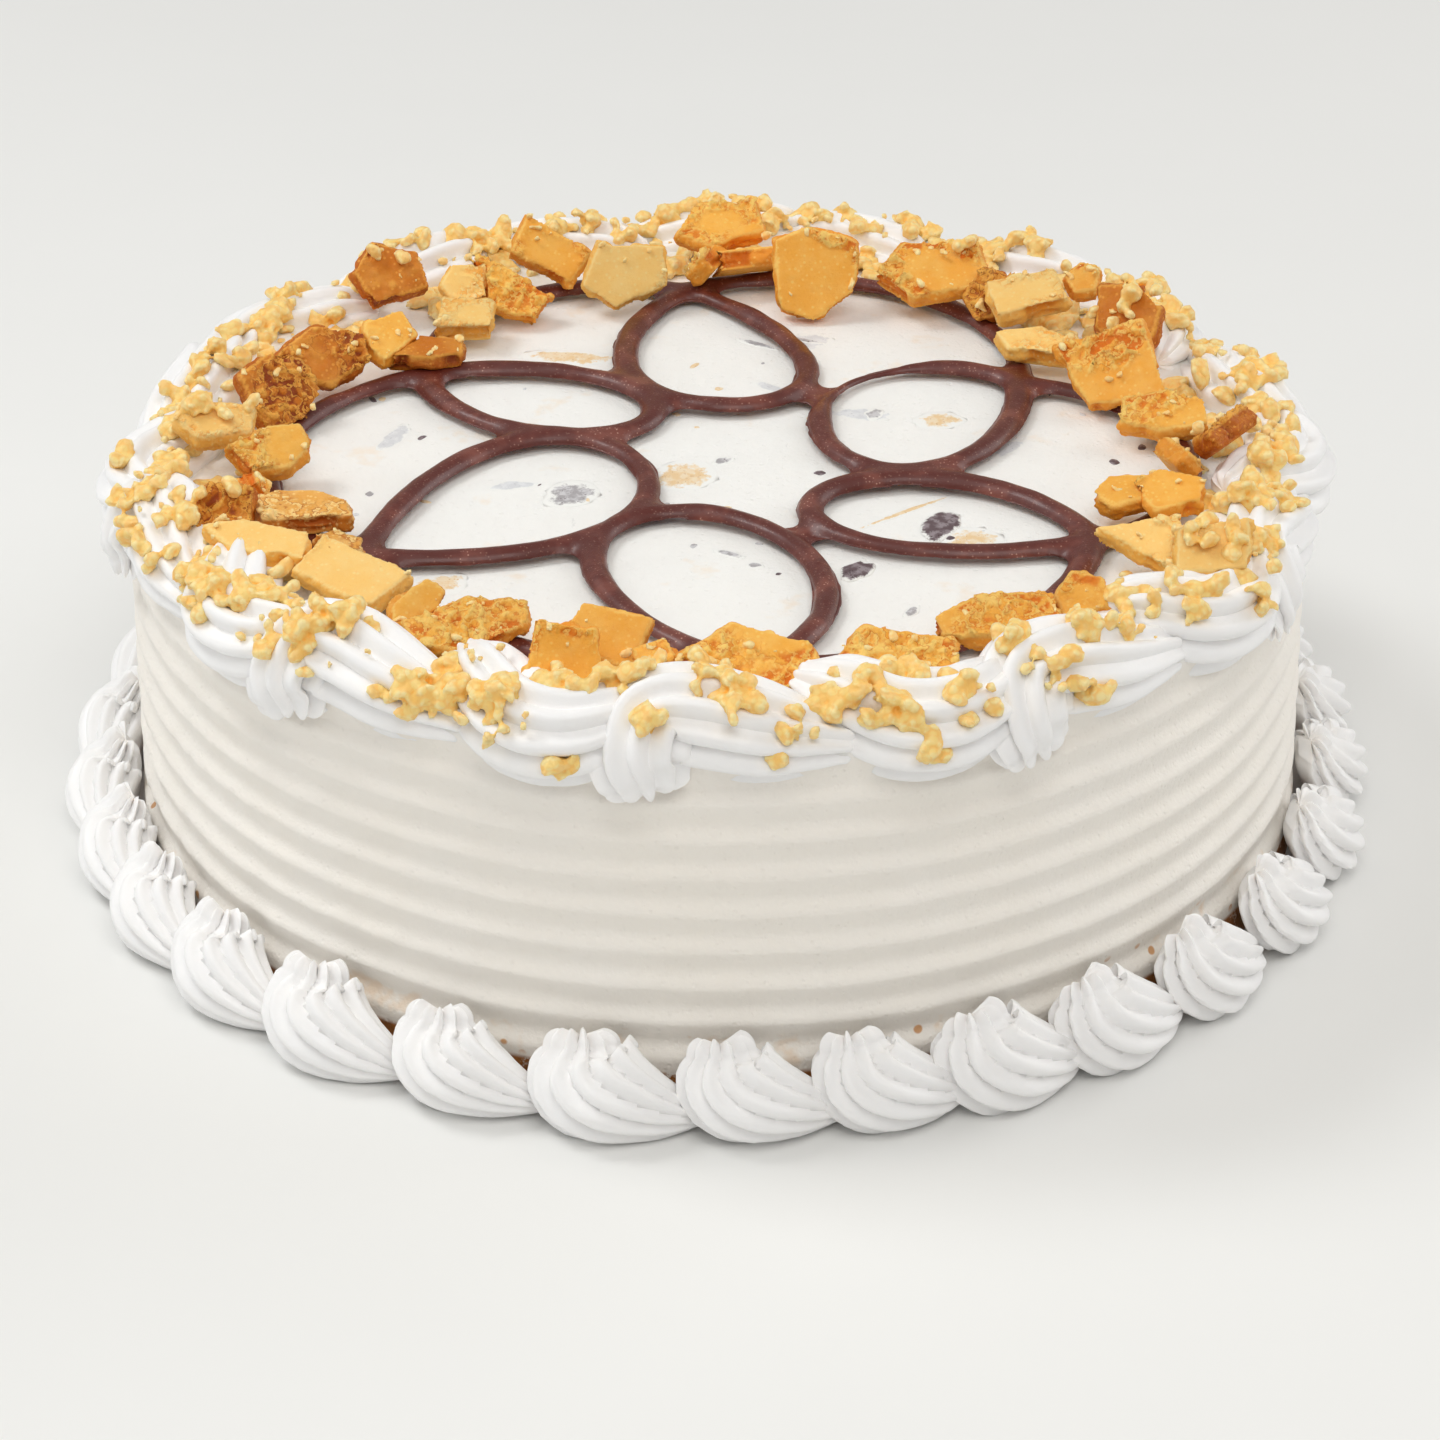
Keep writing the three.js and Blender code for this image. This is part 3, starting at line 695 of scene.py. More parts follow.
def piped(stops, nozzle, seed):
    """A stroke of cream from a star nozzle, as rings of points. It starts with separate finger
    tips, and its ridges close up towards its end."""
    path = smooth_path(stops, nozzle["stations"])
    middles = around(path[:, 0], path[:, 1], path[:, 2])
    forward = normalised(np.gradient(middles, axis=0))
    face = normalised(middles * (1, 1, 0)) + (0, 0, nozzle["face_rise"])
    face = normalised(face - np.sum(face * forward, axis=1, keepdims=True) * forward)
    sideways = np.cross(forward, face)
    turns = np.radians(np.linspace(82, 8, 8))
    ends = (len(turns), len(turns))
    still = np.zeros(len(path) + len(turns))
    head = np.concatenate([turns, still])[:, None]
    tail = np.concatenate([still, turns[::-1]])[:, None]
    along = np.pad(np.linspace(0, 1, len(path)), ends, "edge")[:, None]
    thickness, widening = (np.pad(path[:, column], ends, "edge")[:, None] for column in (3, 4))
    middles, forward, face, sideways = (
        np.pad(line, (ends, (0, 0)), "edge")[:, None] for line in (middles, forward, face, sideways)
    )
    angles = all_round(nozzle["sides"])
    twisted = angles - nozzle["twist"] * (along - 0.3)
    ridge = ridged(twisted, nozzle["spread"], nozzle["ridges"])
    start, end = nozzle["valleys"]
    valley = end + (start - end) * (1 - along) ** 3 + 0.22 * (1 - np.cos(head))
    off_face = np.minimum(np.abs(twisted - np.mean(nozzle["spread"])), 180)
    back = 1 - (1 - BACK_SHARE) * smoothstep(100, 150, off_face)
    size = thickness * (1 - 0.45 * (1 - np.cos(head))) * np.cos(tail)
    share = size * (1 - valley * (1 - ridge)) * back
    length = 0.75 + 0.5 * lattice(np.stack([np.round(twisted / 30)] * 3, -1).astype(np.int64), seed)
    fingers = 0.1 + nozzle["fingers"] * length * ridge * (back > 0.99)
    shift = thickness * (0.45 * np.sin(tail) - fingers * np.sin(head))
    turned = np.radians(angles)
    rings = middles + forward * shift[..., None] + face * (share * np.cos(turned))[..., None]
    rings = rings + sideways * (share * widening * np.sin(turned))[..., None]
    outward = normalised(rings - rings.mean(axis=1, keepdims=True))
    wobble = 0.35 * noise(rings, 9, seed) + 0.1 * noise(rings, 2.4, seed + 1)
    return rings + outward * wobble[..., None]


def fan_degrees(turn):
    even = 360 * turn / BORDER_TURNS
    return FIRST_FAN + even - FAN_DRIFT * math.sin(math.radians(even))


def placed_stop(fan, stretch, degrees, radius, height, *rest):
    """A stop of a stroke at its place after a fan, lowered towards the back."""
    place = fan + degrees * stretch
    off_front = abs((place + 180) % 360 - 180)
    drop = BACK_DROP * float(smoothstep(DROP_START, DROP_END, off_front))
    return (place, radius, height - drop, *rest)


def border_strokes():
    """The stops of every stroke of the top border, each between its own fan and the next."""
    strokes = []
    for turn in range(BORDER_TURNS):
        fan = fan_degrees(turn)
        stretch = (fan_degrees(turn + 1) - fan) * BORDER_TURNS / 360
        for stroke in (FAN_STROKE, SWAG_STROKE):
            strokes.append([placed_stop(fan, stretch, *stop) for stop in stroke])
    return strokes


def make_border(material):
    bodies = []
    for index, stops in enumerate(border_strokes()):
        nozzle = SWAG_NOZZLE if index % 2 else FAN_NOZZLE
        bodies.append(closed_skin(piped(stops, nozzle, SEED + 10 * index)))
    points, faces = joined(bodies)
    mesh = make_mesh("piped_border", points, faces)
    add_piece("piped_border", mesh, material, ["top_border"], sharp_angle=55)
    return points, faces


def kept_clear(rings):
    """Points kept out of the cake's side and off the floor."""
    reach = np.hypot(rings[..., 0], rings[..., 1])
    widen = np.maximum(reach, SHELL_WALL) / reach
    rings = rings * np.stack([widen, widen, np.ones_like(widen)], axis=-1)
    rings[..., 2] = np.maximum(rings[..., 2], 0)
    return rings


def shell_middles():
    """The degrees and the swelling of each shell."""
    draw = random_stream(SEED)
    shells = []
    for index in range(SHELL_COUNT):
        even = FIRST_SHELL + 360 * index / SHELL_COUNT
        wave = math.radians(SHELL_WAVES * (even + 3))
        swelling = 1 + SHELL_UNEVENNESS * (2 * draw() - 1)
        shells.append((even + SHELL_DRIFT * math.cos(wave), swelling))
    return shells


def pearl(ball, degrees, height):
    """A small smooth bead of cream that leans on the side."""
    directions, faces = ball
    out = around(degrees, 1, 0)
    across = np.cross((0, 0, 1), out)
    axes = np.array([PEARL_SIZE[0] * across, PEARL_SIZE[1] * out, (0, 0, PEARL_SIZE[2])])
    return around(degrees, PEARL_RADIUS, height) + directions @ axes, faces


def make_shells(material):
    bodies = [pearl(unit_ball(3), *row) for row in PEARLS]
    for index, (middle, swelling) in enumerate(shell_middles()):
        stops = [
            (middle + degrees, radius, height, swelling * thickness, widening)
            for degrees, radius, height, thickness, widening in SHELL_STOPS
        ]
        bodies.append(closed_skin(kept_clear(piped(stops, SHELL_NOZZLE, 500 + 10 * index))))
    mesh = make_mesh("piped_shells", *joined(bodies))
    add_piece("piped_shells", mesh, material, ["shell_border"], sharp_angle=55)


# Fudge flower

def petal_line(axis, inner, outer, width, point, bend, _):
    """The middle line of a petal: a closed loop with its tip at the outer end."""
    turn = np.linspace(0, 2 * np.pi, PETAL_STATIONS, endpoint=False)
    along = inner + (outer - inner) * (1 + np.cos(turn)) / 2
    across = width * np.sin(turn) * np.sin(turn / 2) ** point + bend * np.cos(turn)
    angle = math.radians(axis)
    outward = np.array([math.sin(angle), -math.cos(angle)])
    sideways = np.array([math.cos(angle), math.sin(angle)])
    return along[:, None] * outward + across[:, None] * sideways


def ring_line():
    """The middle line of the outer ring, which dips in at each petal's tip."""
    tips = [petal_line(*petal)[0] for petal in PETALS]
    starts = [math.degrees(math.atan2(tip[0], -tip[1])) for tip in tips]
    spans = []
    share = np.linspace(0, 1, RING_SPAN_STATIONS, endpoint=False)
    for index, petal in enumerate(PETALS):
        following = (index + 1) % len(PETALS)
        end = starts[following] + (360 if starts[following] < starts[index] else 0)
        reach = [np.linalg.norm(tips[each]) for each in (index, following)]
        radius = reach[0] + (reach[1] - reach[0]) * share
        radius = radius + petal[-1] * np.sin(np.pi * share) ** 0.8
        spans.append(around(starts[index] + (end - starts[index]) * share, radius, 0)[:, :2])
    return np.concatenate(spans)


def bead(line, seed, thin_at=None):
    """A bead of fudge along a closed line, round on top and flat below, made a web wider all round."""
    forward = normalised(np.roll(line, -1, axis=0) - np.roll(line, 1, axis=0))
    across = np.stack([-forward[:, 1], forward[:, 0]], axis=-1)
    spots = np.concatenate([line, np.zeros((len(line), 1))], axis=1)
    size = 1 + 0.13 * noise(spots, 16, seed) + 0.05 * noise(spots, 5, seed + 1)
    if thin_at is not None:
        size = size * (1 - 0.5 * thin_at)
    turns = np.linspace(0, 2 * np.pi, BEAD_SIDES, endpoint=False)
    half = (BEAD_WIDTH / 2 * size + FUDGE_WEB)[:, None] * np.cos(turns)[None, :]
    rise = np.maximum(np.sin(turns), -0.25)[None, :]
    height = BEAD_FOOT + (BEAD_HEIGHT * size[:, None] ** 0.5 + FUDGE_WEB) * (0.2 + 0.8 * rise)
    flat = line[:, None] + across[:, None] * half[..., None]
    rings = np.concatenate([flat, np.broadcast_to(height, half.shape)[..., None]], axis=-1)
    faces = skin(len(line), BEAD_SIDES, closed=True)
    points = rings.reshape(-1, 3)
    return points, facing_out(points, faces)


def make_fudge():
    bodies = [bead(ring_line(), 70)]
    for index, petal in enumerate(PETALS):
        thin = None
        if index == len(PETALS) - 1:
            station = np.arange(PETAL_STATIONS) / PETAL_STATIONS
            thin = smoothstep(0.14, 0.05, np.abs(station - 0.3))
        bodies.append(bead(petal_line(*petal), 80 + 5 * index, thin))
    mesh = remeshed(make_mesh("fudge_beads", *joined(bodies)), FUDGE_VOXEL)
    relaxed(mesh, 5, 0.6)
    points, normals = mesh_arrays(mesh)
    set_points(mesh, points - FUDGE_WEB * normals)
    relaxed(mesh, 3, 0.5)
    points, normals = mesh_arrays(mesh)
    wobble = 0.24 * noise(points, 9, 90) + 0.05 * noise(points, 3, 91)
    points = points + normals * wobble[:, None]
    points[:, 2] = np.maximum(points[:, 2], BEAD_FOOT - 0.6)
    set_points(mesh, points)
    add_piece("fudge_flower", mesh, fudge_finish(), ["fudge_piping"])


# Candy slabs

# Each look: the slabs that have it, its colours (face; painted shade in hollows and under flake lips,
# also fine grains; raised flakes, also painted highlights; broken sides), how high its flakes and
# nut-like lumps stand, how far in from the outline the flakes reach, in millimetres, and how many
# crumbs cling to its edges
LOOKS = {
    "smooth_golden": {
        "slabs": (3, 4, 22, 23, 25, 39, 40, 43, 44),
        "colours": ((248, 176, 66), (228, 122, 20), (255, 208, 110), (240, 154, 44)),
        "flakes": 0.9,
        "lumps": 0.0,
        "reach": 4,
        "crumbs": 3,
    },
    "pale": {
        "slabs": (7, 10, 14, 20, 24, 31, 32, 41, 42, 21),
        "colours": ((255, 206, 118), (248, 166, 58), (255, 224, 150), (252, 188, 82)),
        "flakes": 0.7,
        "lumps": 0.0,
        "reach": 3,
        "crumbs": 4,
    },
    "flaky": {
        "slabs": (1, 2, 5, 6, 13, 18, 36, 45),
        "colours": ((248, 178, 68), (222, 116, 16), (255, 212, 116), (240, 152, 42)),
        "flakes": 1.1,
        "lumps": 0.3,
        "reach": 12,
        "crumbs": 8,
    },
    "half_flaky": {
        "slabs": (28, 29, 35, 12, 26, 27, 33, 38),
        "colours": ((248, 174, 66), (224, 118, 18), (255, 210, 114), (240, 152, 42)),
        "flakes": 1.4,
        "lumps": 0.15,
        "reach": 8,
        "crumbs": 7,
    },
    "toasted": {
        "slabs": (11, 15, 16, 17, 19, 30, 34, 37),
        "colours": ((206, 118, 22), (150, 64, 4), (244, 178, 76), (188, 96, 14)),
        "flakes": 1.1,
        "lumps": 0.5,
        "reach": 20,
        "crumbs": 5,
    },
    "nutty": {
        "slabs": (9, 8),
        "colours": ((234, 168, 76), (180, 92, 16), (255, 222, 148), (208, 120, 28)),
        "flakes": 0.3,
        "lumps": 1.5,
        "reach": 20,
        "crumbs": 6,
    },
}


def slab_face(mesh):
    """The direction that a slab's large face looks in, the side of it that looks up."""
    up = [face for face in mesh.polygons if face.normal.z > 0.05]
    groups = []
    for face in up:
        for group in groups:
            if group[0].dot(face.normal) > 0.99:
                group[1] += face.area
                break
        else:
            groups.append([face.normal.copy(), face.area])
    return np.array(max(groups, key=lambda group: group[1])[0])


def outline_distance(source, face, points):
    """How far in from the slab's outline each point is."""
    distance = np.full(len(points), 99.0)
    for side in source.polygons:
        outward = np.array(side.normal)
        if abs(outward @ face) < 0.5:
            distance = np.minimum(distance, (np.array(side.center) / MM - points) @ outward)
    return np.maximum(distance, 0)


def slab_relief(points, normals, face, distance, look, seed):
    """How far each point of a slab is raised, and how much of it is broken side, the rim of the
    face and flaky."""
    across = normalised(np.cross(face, (0.3, 0.1, 1.0)))
    along = np.cross(face, across)
    facing = normals @ face
    seen = smoothstep(0.35, 0.8, facing)
    side = 1 - smoothstep(0.3, 0.8, np.abs(facing))
    rim = smoothstep(0.3, 0.5, facing) * smoothstep(0.95, 0.75, facing)
    flat = np.stack([points @ along, points @ across, np.zeros(len(points))], axis=-1)
    sheets = flat + np.outer(points @ face, (0, 0, 4.2))
    reach = look["reach"]
    inward = distance + (1 + 0.3 * reach) * noise(flat, 8, seed + 10)
    flaky = smoothstep(reach, 0.4 * reach, inward) * smoothstep(-0.2, 0.15, noise(flat, 13, seed + 20))
    field = rough_noise(flat, 7.0, seed + 30, 3)
    curls = np.exp(-(((field - 0.1) / 0.07) ** 2))
    folds = np.clip(1 - 3.2 * np.abs(rough_noise(flat, (4.4, 3.0, 1), seed + 200, 2)), 0, 1)
    flecks = np.clip(1 - cell_distance(points, 2.6, seed + 250) / 0.42, 0, 1) ** 0.6
    lumps = np.clip(1 - cell_distance(points, 3.3, seed + 300) / 0.5, 0, 1) ** 0.5
    lumps = lumps * smoothstep(-0.1, 0.25, noise(flat, 7, seed + 320))
    raised = flaky * look["flakes"] * (0.9 * curls + 0.7 * folds + 0.8 * flecks - 0.45)
    raised = seen * (raised + look["lumps"] * lumps + 0.2 * noise(flat, 6, seed + 350))
    bites = smoothstep(0.05, 0.4, rough_noise(flat, 7, seed + 420, 2))
    chips = side * (1.0 * rough_noise(sheets, 4.2, seed + 400, 3) - 1.5 * bites + 0.25)
    grain = 0.06 * rough_noise(points, 1.5, seed + 500, 2)
    return raised + chips + grain, side, rim, np.clip(flaky * seen + 0.25 * side, 0, 1)


def make_slab(number, look, material):
    """A slab of candy. Gives the corners and faces of the plain slab, and where crumbs cling to it."""
    node = "crisp_slab_%02d" % number
    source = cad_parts[node].data
    face = slab_face(source)
    mesh = remeshed(source, SLAB_VOXEL)
    points, normals = mesh_arrays(mesh)
    seed = 1000 + 700 * number
    distance = outline_distance(source, face, points)
    height, side, rim, flaky = slab_relief(points, normals, face, distance, look, seed)
    points = points + normals * height[:, None]
    set_points(mesh, points)
    fine = height * (1 - 0.6 * side) + 0.06 * noise(points, 1.1, seed + 600)
    # How far each point stands out, for the painted shade in hollows and painted highlight on crests
    store(mesh, "relief", np.clip(0.5 + fine / 2.2, 0, 1))
    store(mesh, "side", side)
    # The rim of the face, for its pale flakes and painted light glowing through the edge
    store(mesh, "rim", rim)
    store(mesh, "flaky", flaky)
    tone = 1 + 0.08 * (2 * random_stream(seed)() - 1)
    store(mesh, "tone", np.full(len(points), tone))
    add_piece("candy_slab_%02d" % number, mesh, material, [node])
    edges = points[(distance < CLINGING_REACH) & (normals @ face > 0.6)]
    clinging = np.random.default_rng(seed).choice(edges, look["crumbs"], replace=False)
    source.calc_loop_triangles()
    corners = np.array([list(triangle.vertices) for triangle in source.loop_triangles])
    source_points, _ = mesh_arrays(source)
    return (source_points, np.concatenate([corners, corners[:, 2:]], axis=1)), clinging


def make_slabs():
    """All the slabs. Gives their plain bodies, and where crumbs cling to them."""
    made = []
    for name, look in LOOKS.items():
        material = candy_finish("candy_" + name, *look["colours"])
        made += [make_slab(number, look, material) for number in look["slabs"]]
    bodies, clinging = zip(*made)
    return bodies, np.concatenate(clinging)


# Crumbs

CRUMB_CORE_RADIUS = 119
CRUMB_CORE_HEIGHT = 81
CRUMB_START = 60
# Clumps of crumbs round the front: degrees, slope from straight out (0) to straight up (90) and
# on inwards, how many crumbs are seen, and how many degrees they spread
FRONT_CLUMPS = (
    (-66, 50, 9, 3.0), (-61, 100, 8, 3.0), (-58, 46, 12, 2.5), (-53, 42, 12, 2.2),
    (-48, 88, 12, 3.0), (-44, 60, 9, 3.0), (-39, 45, 14, 2.6), (-37, 95, 10, 3.0),
    (-28, 34, 12, 2.8), (-24, 52, 16, 2.6), (-25, 100, 10, 3.0), (-19, 42, 16, 2.4),
    (-15, 95, 9, 3.0), (-13, -8, 5, 1.2), (-9, 92, 7, 2.4), (-6, 138, 9, 2.2),
    (-1, 92, 12, 2.6), (1.5, 66, 9, 2.0), (4.8, -12, 3, 0.8), (6.5, 40, 6, 2.0),
    (9, 80, 8, 2.6), (13, 72, 14, 2.8), (15.5, 38, 7, 1.6), (18, 8, 4, 1.2),
    (18, 100, 10, 2.6), (21, 48, 14, 2.2), (29.5, 80, 7, 2.4), (31, 34, 8, 1.8),
    (34, 10, 6, 1.2), (36.5, 82, 10, 2.4), (41, 74, 8, 2.4), (45, 110, 6, 2.4),
    (49.5, 64, 12, 3.0), (55, 24, 8, 1.8), (57, 112, 12, 2.6), (62, 58, 12, 2.6),
)
# Crumbs for each one that is seen, as some lie under others
CLUMP_FULLNESS = 1.6
# Clumps round the back: first and last degrees, and the steps between them
BACK_CLUMPS = (67, 293, 4.6)
# Crumbs that the solid border carries, and the slopes that they sit at. The solids draw
# more numbers for the shape of each.
SOLID_CRUMBS = 18
CRUMB_LARGEST = 4.2
CRUMB_SMALLEST = 2.8
CRUMB_RISES = (35, 105)
CRUMB_SHAPE_DRAWS = 15
CRUMB_PARTS = 7
# Sizes of scattered bodies: the smallest, how much larger the largest is, and a power that
# makes large ones rare
CRUMB_SIZES = (0.8, 1.7, 1.5)
CLINGING_SIZES = (0.6, 0.8, 2)
FLAKE_SIZES = (0.8, 2.4, 1.5)
CRUMB_BREAKS = 7
BREAK_SHARPNESS = 40
CRUMB_LEAN = 60
CRUMB_VOXEL = 0.62
GRIT_SIZE = 1.7
GRIT_HEIGHT = 0.3
# Heaps of flakes between the slabs and the border: first and last degrees of each stretch
HEAP_STRETCHES = ((-132, -42), (42, 132), (132, 228))
HEAP_STEP = 3.3
HEAP_RADII = (98, 112)
HEAP_HEIGHT = 86
HEAP_SPREAD_ACROSS = 3.5
HEAP_SPREAD_ALONG = 1.3


def unit_ball(level):
    """Directions of a ball's points, and its faces."""
    ball = bmesh.new()
    bmesh.ops.create_icosphere(ball, subdivisions=level, radius=1)
    points = np.array([vertex.co[:] for vertex in ball.verts])
    faces = np.array([[corner.index for corner in face.verts] for face in ball.faces])
    ball.free()
    return points, np.concatenate([faces, faces[:, 2:]], axis=1)


def leaning_axes(draws, lean):
    """Three axes square to each other, the last within a lean of degrees from straight up."""
    slope = math.radians(draws.uniform(0, lean))
    way = draws.uniform(0, 360)
    up = around(way, math.sin(slope), math.cos(slope))
    across = normalised(np.cross(up, draws.normal(size=3)))
    return np.array([across, np.cross(up, across), up])


def crumb_body(ball, middle, size, thinness, draws, seed):
    """A broken crumb: flat breaks in all directions, with a rough skin."""
    directions, faces = ball
    breaks = normalised(draws.normal(size=(CRUMB_BREAKS, 3)))
    depths = draws.uniform(0.5, 0.95, CRUMB_BREAKS)
    toward = directions @ breaks.T
    reach = np.where(toward > 0.05, depths / np.maximum(toward, 0.05), 9.0)
    blended = np.sum(np.exp(-BREAK_SHARPNESS * np.minimum(reach, 1.25)), axis=1)
    reach = -np.log(blended) / BREAK_SHARPNESS + 0.05
    stretch = (draws.uniform(0.85, 1.35), draws.uniform(0.7, 1.1), thinness)
    rough = rough_noise(directions * 2.1 + seed, 1.0, seed, 3)
    points = directions * (reach * (1 + 0.24 * rough))[:, None] * stretch
    turned = points @ leaning_axes(draws, CRUMB_LEAN)
    return middle + size * turned, faces


def drawn_size(draws, smallest, spread, power):
    return smallest + spread * draws.random() ** power


def solid_crumbs():
    """The middles and sizes of the crumbs that the solid border carries."""
    draw = random_stream(SEED)
    strokes = border_strokes()
    crumbs = []
    flattest, steepest = CRUMB_RISES
    for index in range(SOLID_CRUMBS):
        share = index / (SOLID_CRUMBS - 1)
        size = CRUMB_LARGEST + (CRUMB_SMALLEST - CRUMB_LARGEST) * share
        stops = strokes[7 * index % len(strokes)]
        degrees, radius, height, thickness, _ = stops[2 + int(draw() * (len(stops) - 4))]
        rise = math.radians(flattest + (steepest - flattest) * draw())
        reach = 0.95 * thickness
        middle = around(degrees, radius + reach * math.cos(rise), height + reach * math.sin(rise))
        crumbs.append((middle, size))
        for _ in range(CRUMB_SHAPE_DRAWS):
            draw()
    return crumbs


def landing(tree, degrees, slope):
    """Where a line towards the core of the border first meets the cake, and the way it looks there."""
    core = Vector(around(degrees, CRUMB_CORE_RADIUS, CRUMB_CORE_HEIGHT))
    rise = math.radians(slope)
    out = Vector(around(degrees, math.cos(rise), math.sin(rise)))
    point, normal, _, _ = tree.ray_cast(core + CRUMB_START * out, -out, CRUMB_START)
    return point, normal


def clumps():
    """Every clump of crumbs: those round the front, and like ones round the back."""
    draws = np.random.default_rng(SEED)
    rows = list(FRONT_CLUMPS)
    for degrees in np.arange(*BACK_CLUMPS):
        slope = draws.uniform(62, 140)
        rows.append((degrees + draws.uniform(-1.5, 1.5), slope, int(draws.integers(7, 15)), 2.6))
    return rows


def dropped(tree, x, y):
    """The highest point of the cake at a place."""
    return tree.ray_cast(Vector((x, y, 2 * BODY_HEIGHT)), Vector((0, 0, -1)))[0]


class Scatter:
    """Many small broken bodies, which become one piece where they touch."""

    def __init__(self, seed):
        self.draws = np.random.default_rng(seed)
        self.seed = seed
        self.ball = unit_ball(2)
        self.bodies = []

    def add(self, middle, size, thinness):
        seed = 1000 * self.seed + 10 * len(self.bodies)
        self.bodies.append(crumb_body(self.ball, middle, size, thinness, self.draws, seed))

    def make(self, name, nodes):
        mesh = remeshed(make_mesh(name, *joined(self.bodies)), CRUMB_VOXEL)
        points, normals = mesh_arrays(mesh)
        grit = GRIT_HEIGHT * rough_noise(points, GRIT_SIZE, self.seed, 2)
        points = points + normals * grit[:, None]
        set_points(mesh, points)
        relaxed(mesh, 3, 0.55)
        soft, _ = mesh_arrays(mesh)
        standing = np.clip(np.sum((points - soft) * normals, axis=1), -0.6, 0.5)
        set_points(mesh, soft + 1.3 * normals * standing[:, None])
        # How far each point stands out, for the painted shade in creases and painted highlight on tips
        store(mesh, "relief", np.clip(0.5 + 2.2 * standing, 0, 1))
        add_piece(name, mesh, crumb_finish(name), nodes)


def make_crumbs(tree, clinging):
    """Crumbs on the border, those that the solid border carries first, and on the slabs' edges."""
    scatter = Scatter(3)
    draws = scatter.draws
    for middle, size in solid_crumbs():
        for _ in range(CRUMB_PARTS):
            near = middle + 0.55 * size * normalised(draws.normal(size=3))
            scatter.add(near, size * draws.uniform(0.35, 0.6), 0.9)
    for degrees, slope, count, spread in clumps():
        for _ in range(int(CLUMP_FULLNESS * count)):
            size = drawn_size(draws, *CRUMB_SIZES)
            near = degrees + draws.normal(0, spread / 2)
            point, normal = landing(tree, near, slope + draws.normal(0, 6.5 * spread))
            if point is not None:
                lift = 0.3 * size + abs(draws.normal(0, 0.9))
                scatter.add(np.array(point) + lift * np.array(normal), size, 0.8)
    for point in clinging:
        scatter.add(point, drawn_size(draws, *CLINGING_SIZES), 0.5)
    scatter.make("candy_crumbs", ["top_border"])


def make_flakes(tree):
    """Heaps of flakes between the slabs and the border."""
    scatter = Scatter(4)
    draws = scatter.draws
    for first, last in HEAP_STRETCHES:
        for degrees in np.arange(first, last, HEAP_STEP):
            radius = draws.uniform(*HEAP_RADII)
            for _ in range(int(draws.integers(7, 13))):
                size = drawn_size(draws, *FLAKE_SIZES)
                reach = radius + draws.normal(0, HEAP_SPREAD_ACROSS)
                place = around(degrees + draws.normal(0, HEAP_SPREAD_ALONG), reach, 0)
                point = dropped(tree, *place[:2])
                lift = (0, 0, draws.uniform(0.1, 0.8) * size)
                if point.z < HEAP_HEIGHT:
                    scatter.add(np.array(point) + lift, size, 0.55)
    scatter.make("candy_flakes", [])


# Inclusions in the top

# Pieces in the cream: x, y, length, width and turn in degrees
CHOCOLATE_BITS = (
    (-31, -18, 11, 9, 20), (1, -2, 4, 2.5, 40), (8.6, 58, 9, 2, -35), (19, 60, 8, 1.8, -25),
    (41, 43.5, 7, 3, 10), (34, 21, 4.5, 3, 70), (7.5, -50, 3.2, 2, 0), (38.6, -69.6, 4.5, 1.8, 60),
    (2, -45, 7, 2, -30),
)
CHOCOLATE_SHARDS = ((46, -33, 12, 6, 65), (28, -52.5, 7, 4.5, 60))
TOFFEE_BITS = (
    (-7.5, -9.6, 13, 11, 15), (52, -38.6, 10, 8, 40), (48, 18, 9, 7, 0), (-33, 51, 17, 6, -5),
    (-56, -58, 10, 8, 30), (38, -27, 21, 1.2, 38),
)
FAINT_BITS = (
    (31, 21, 13, 5, -15), (20, 59, 10, 7, 30), (-12, -30, 12, 4, 20), (12, 34, 9, 3, -40),
    (-70, 10, 12, 4, 70), (-44, -14, 8, 3, 10), (62, 4, 9, 4, 50),
)
FLECK_COUNT = 44
FLECK_SIZES = (0.7, 2.6)
FLECK_REACH = 92


def smear(ball, row, rise, tree, seed):
    """A broken piece that lies in the top, a little of it standing out. Also gives how much each
    point fades into the cream."""
    x, y, length, width, turn = row
    directions, faces = ball
    fading = np.hypot(directions[:, 0], directions[:, 1])
    edge = directions * (1, 1, 0) / np.maximum(fading, 0.01)[:, None]
    outline = 1.3 + 0.5 * rough_noise(edge * 1.1 + seed, 1.0, seed, 3)
    angle = math.radians(turn)
    along = directions[:, 0] * outline * length / 2
    across = directions[:, 1] * outline * width / 2
    points = np.empty_like(directions)
    points[:, 0] = x + along * math.cos(angle) - across * math.sin(angle)
    points[:, 1] = y + along * math.sin(angle) + across * math.cos(angle)
    points[:, 2] = [dropped(tree, *point[:2]).z for point in points]
    points[:, 2] += np.where(directions[:, 2] > 0, rise, 0.5) * directions[:, 2] - 0.04
    return points, faces, fading


def fleck_rows(draws, count):
    """Places and sizes of tiny pieces, as for the larger ones."""
    rows = []
    for _ in range(count):
        place = around(draws.uniform(0, 360), FLECK_REACH * math.sqrt(draws.random()), 0)
        length = draws.uniform(*FLECK_SIZES)
        rows.append((place[0], place[1], length, draws.uniform(0.4, 0.9) * length, draws.uniform(0, 180)))
    return rows


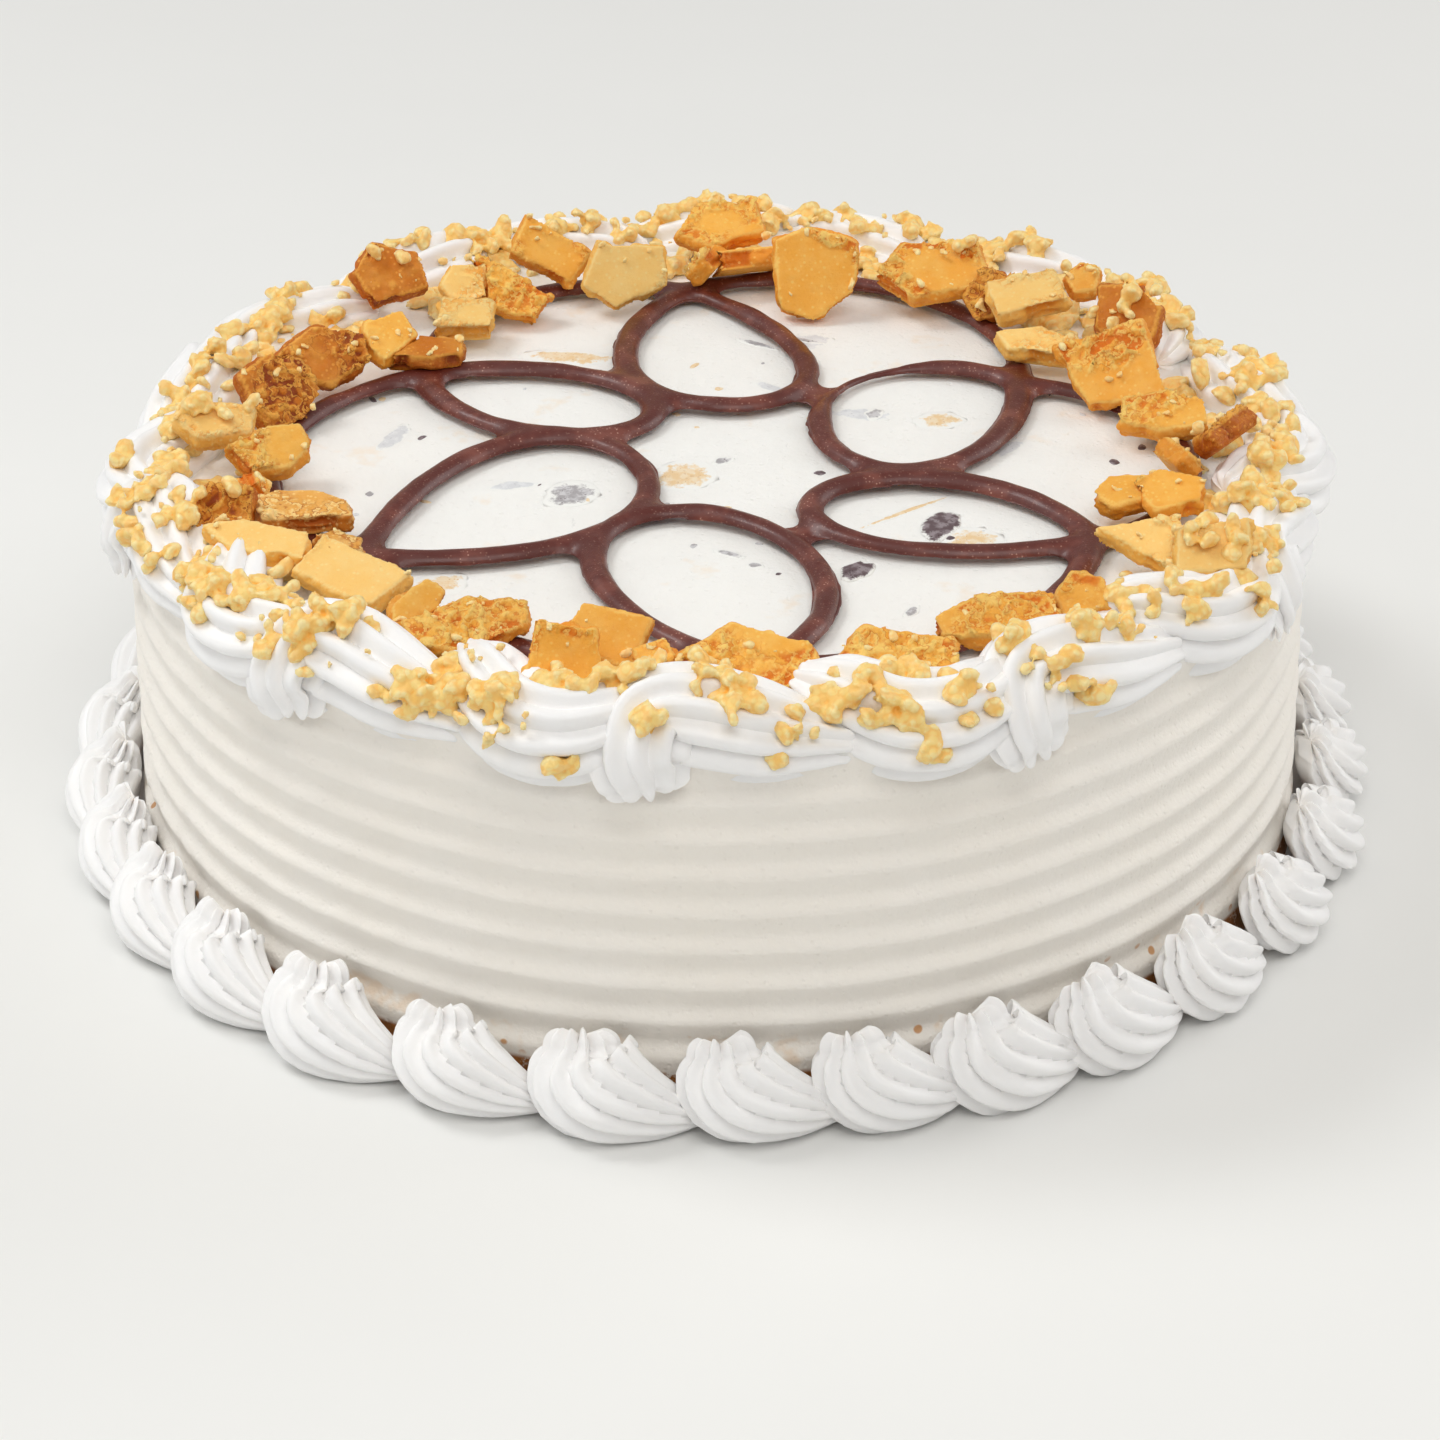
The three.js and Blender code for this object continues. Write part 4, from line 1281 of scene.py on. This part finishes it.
def make_inclusions(tree):
    large, small = unit_ball(3), unit_ball(2)
    draws = np.random.default_rng(SEED + 4)
    frosted = ((172, 168, 170), (212, 210, 212), (96, 82, 84), 0.06)
    dark = ((98, 80, 84), (150, 138, 142), (66, 48, 50), -0.12)
    toffee = ((240, 208, 160), (246, 226, 194), (214, 170, 116), 0.06)
    faint = ((222, 223, 225), (234, 235, 236), (202, 202, 206), 0.0)
    for name, rows, rise, look, slot in (
        ("chocolate_bits", CHOCOLATE_BITS, 0.25, frosted, "chocolate_fudge"),
        ("chocolate_shards", CHOCOLATE_SHARDS, 0.8, dark, "chocolate_fudge"),
        ("faint_smears", FAINT_BITS, 0.1, faint, "body_cream"),
        ("toffee_bits", TOFFEE_BITS, 0.2, toffee, "crisp_candy"),
    ):
        flecks = fleck_rows(draws, FLECK_COUNT // 4)
        made = [smear(large, row, rise, tree, 40 + i) for i, row in enumerate(rows)]
        made += [smear(small, row, 0.2, tree, 80 + i) for i, row in enumerate(flecks)]
        mesh = make_mesh(name, *joined([(points, faces) for points, faces, _ in made]))
        faded = [0.55 * fading**2.5 for _, _, fading in made[: len(rows)]]
        faded += [0.1 * fading**3 for _, _, fading in made[len(rows) :]]
        store(mesh, "fading", np.concatenate(faded))
        add_piece(name, mesh, inclusion_finish(name, *look))


# Camera, floor and light

CAMERA_LENS = 101.3
CAMERA_PLACE = (0.00036, -0.7797, 0.4629)
CAMERA_PITCH = 29.87
FLOOR_REACH = 3000
LIGHT_DISTANCE = 1.5
LIGHT_AIM = 0.05
SKY_STRENGTH = 0.38
# Soft square lights: degrees round the cake from the front, slope above the floor, size in metres,
# energy and colour
LIGHTS = {
    "key_light": (-108, 55, 0.5, 6.6, (0.985, 0.995, 1.0)),
    "left_light": (-85, 24, 1.2, 3.4, (0.97, 0.995, 1.0)),
    "front_light": (8, 56, 0.9, 7.2, (1.0, 0.985, 0.96)),
    "right_light": (112, 26, 1.0, 6.3, (1.0, 1.0, 1.0)),
}


def make_camera():
    camera = added("camera", bpy.data.cameras.new("camera"))
    camera.data.lens = CAMERA_LENS
    camera.data.sensor_width = 36
    camera.location = CAMERA_PLACE
    camera.rotation_euler = (math.radians(90 - CAMERA_PITCH), 0, 0)
    camera.data.clip_start = 0.01
    bpy.context.scene.camera = camera


def make_floor():
    points = FLOOR_REACH * np.array([(-1, -1, 0), (1, -1, 0), (1, 1, 0), (-1, 1, 0)], float)
    floor = added("floor", make_mesh("floor", points, np.array([[0, 1, 2, 3]])))
    finish = Finish("pale_floor", Roughness=0.6, Specular_IOR_Level=0.2)
    finish.set(Base_Color=finish.mix(finish.noise(90), (238, 238, 236), (241, 241, 239)))
    floor.data.materials.append(finish.material)


def add_light(name, degrees, slope, size, energy, colour):
    """A light that looks at the middle of the cake."""
    light = bpy.data.lights.new(name, "AREA")
    light.size = size
    light.energy = energy
    light.color = colour
    lamp = added(name, light)
    rise = math.radians(slope)
    out = around(degrees, math.cos(rise), math.sin(rise))
    lamp.location = LIGHT_DISTANCE * out + (0, 0, LIGHT_AIM)
    lamp.rotation_euler = Vector(-out).to_track_quat("-Z", "Y").to_euler()


def make_light():
    world = bpy.data.worlds.new("studio")
    world.use_nodes = True
    sky = world.node_tree.nodes["Background"]
    sky.inputs["Color"].default_value = (1.0, 0.985, 0.955, 1.0)
    sky.inputs["Strength"].default_value = SKY_STRENGTH
    bpy.context.scene.world = world
    for name, row in LIGHTS.items():
        add_light(name, *row)
    bpy.context.scene.view_settings.view_transform = "Standard"


def surface_tree(bodies):
    """The joined surface of some bodies, to find places on."""
    points, faces = joined(bodies)
    triangles = faces[:, :3].tolist() + faces[:, [0, 2, 3]].tolist()
    return BVHTree.FromPolygons(points.tolist(), triangles)


make_camera()
piped_cream = piped_finish()
body = make_body()
border = make_border(piped_cream)
make_shells(piped_cream)
make_fudge()
slabs, clinging_places = make_slabs()
cake_tree = surface_tree([body, border, *slabs])
make_crumbs(cake_tree, clinging_places)
make_flakes(cake_tree)
make_inclusions(surface_tree([body]))
make_floor()
make_light()
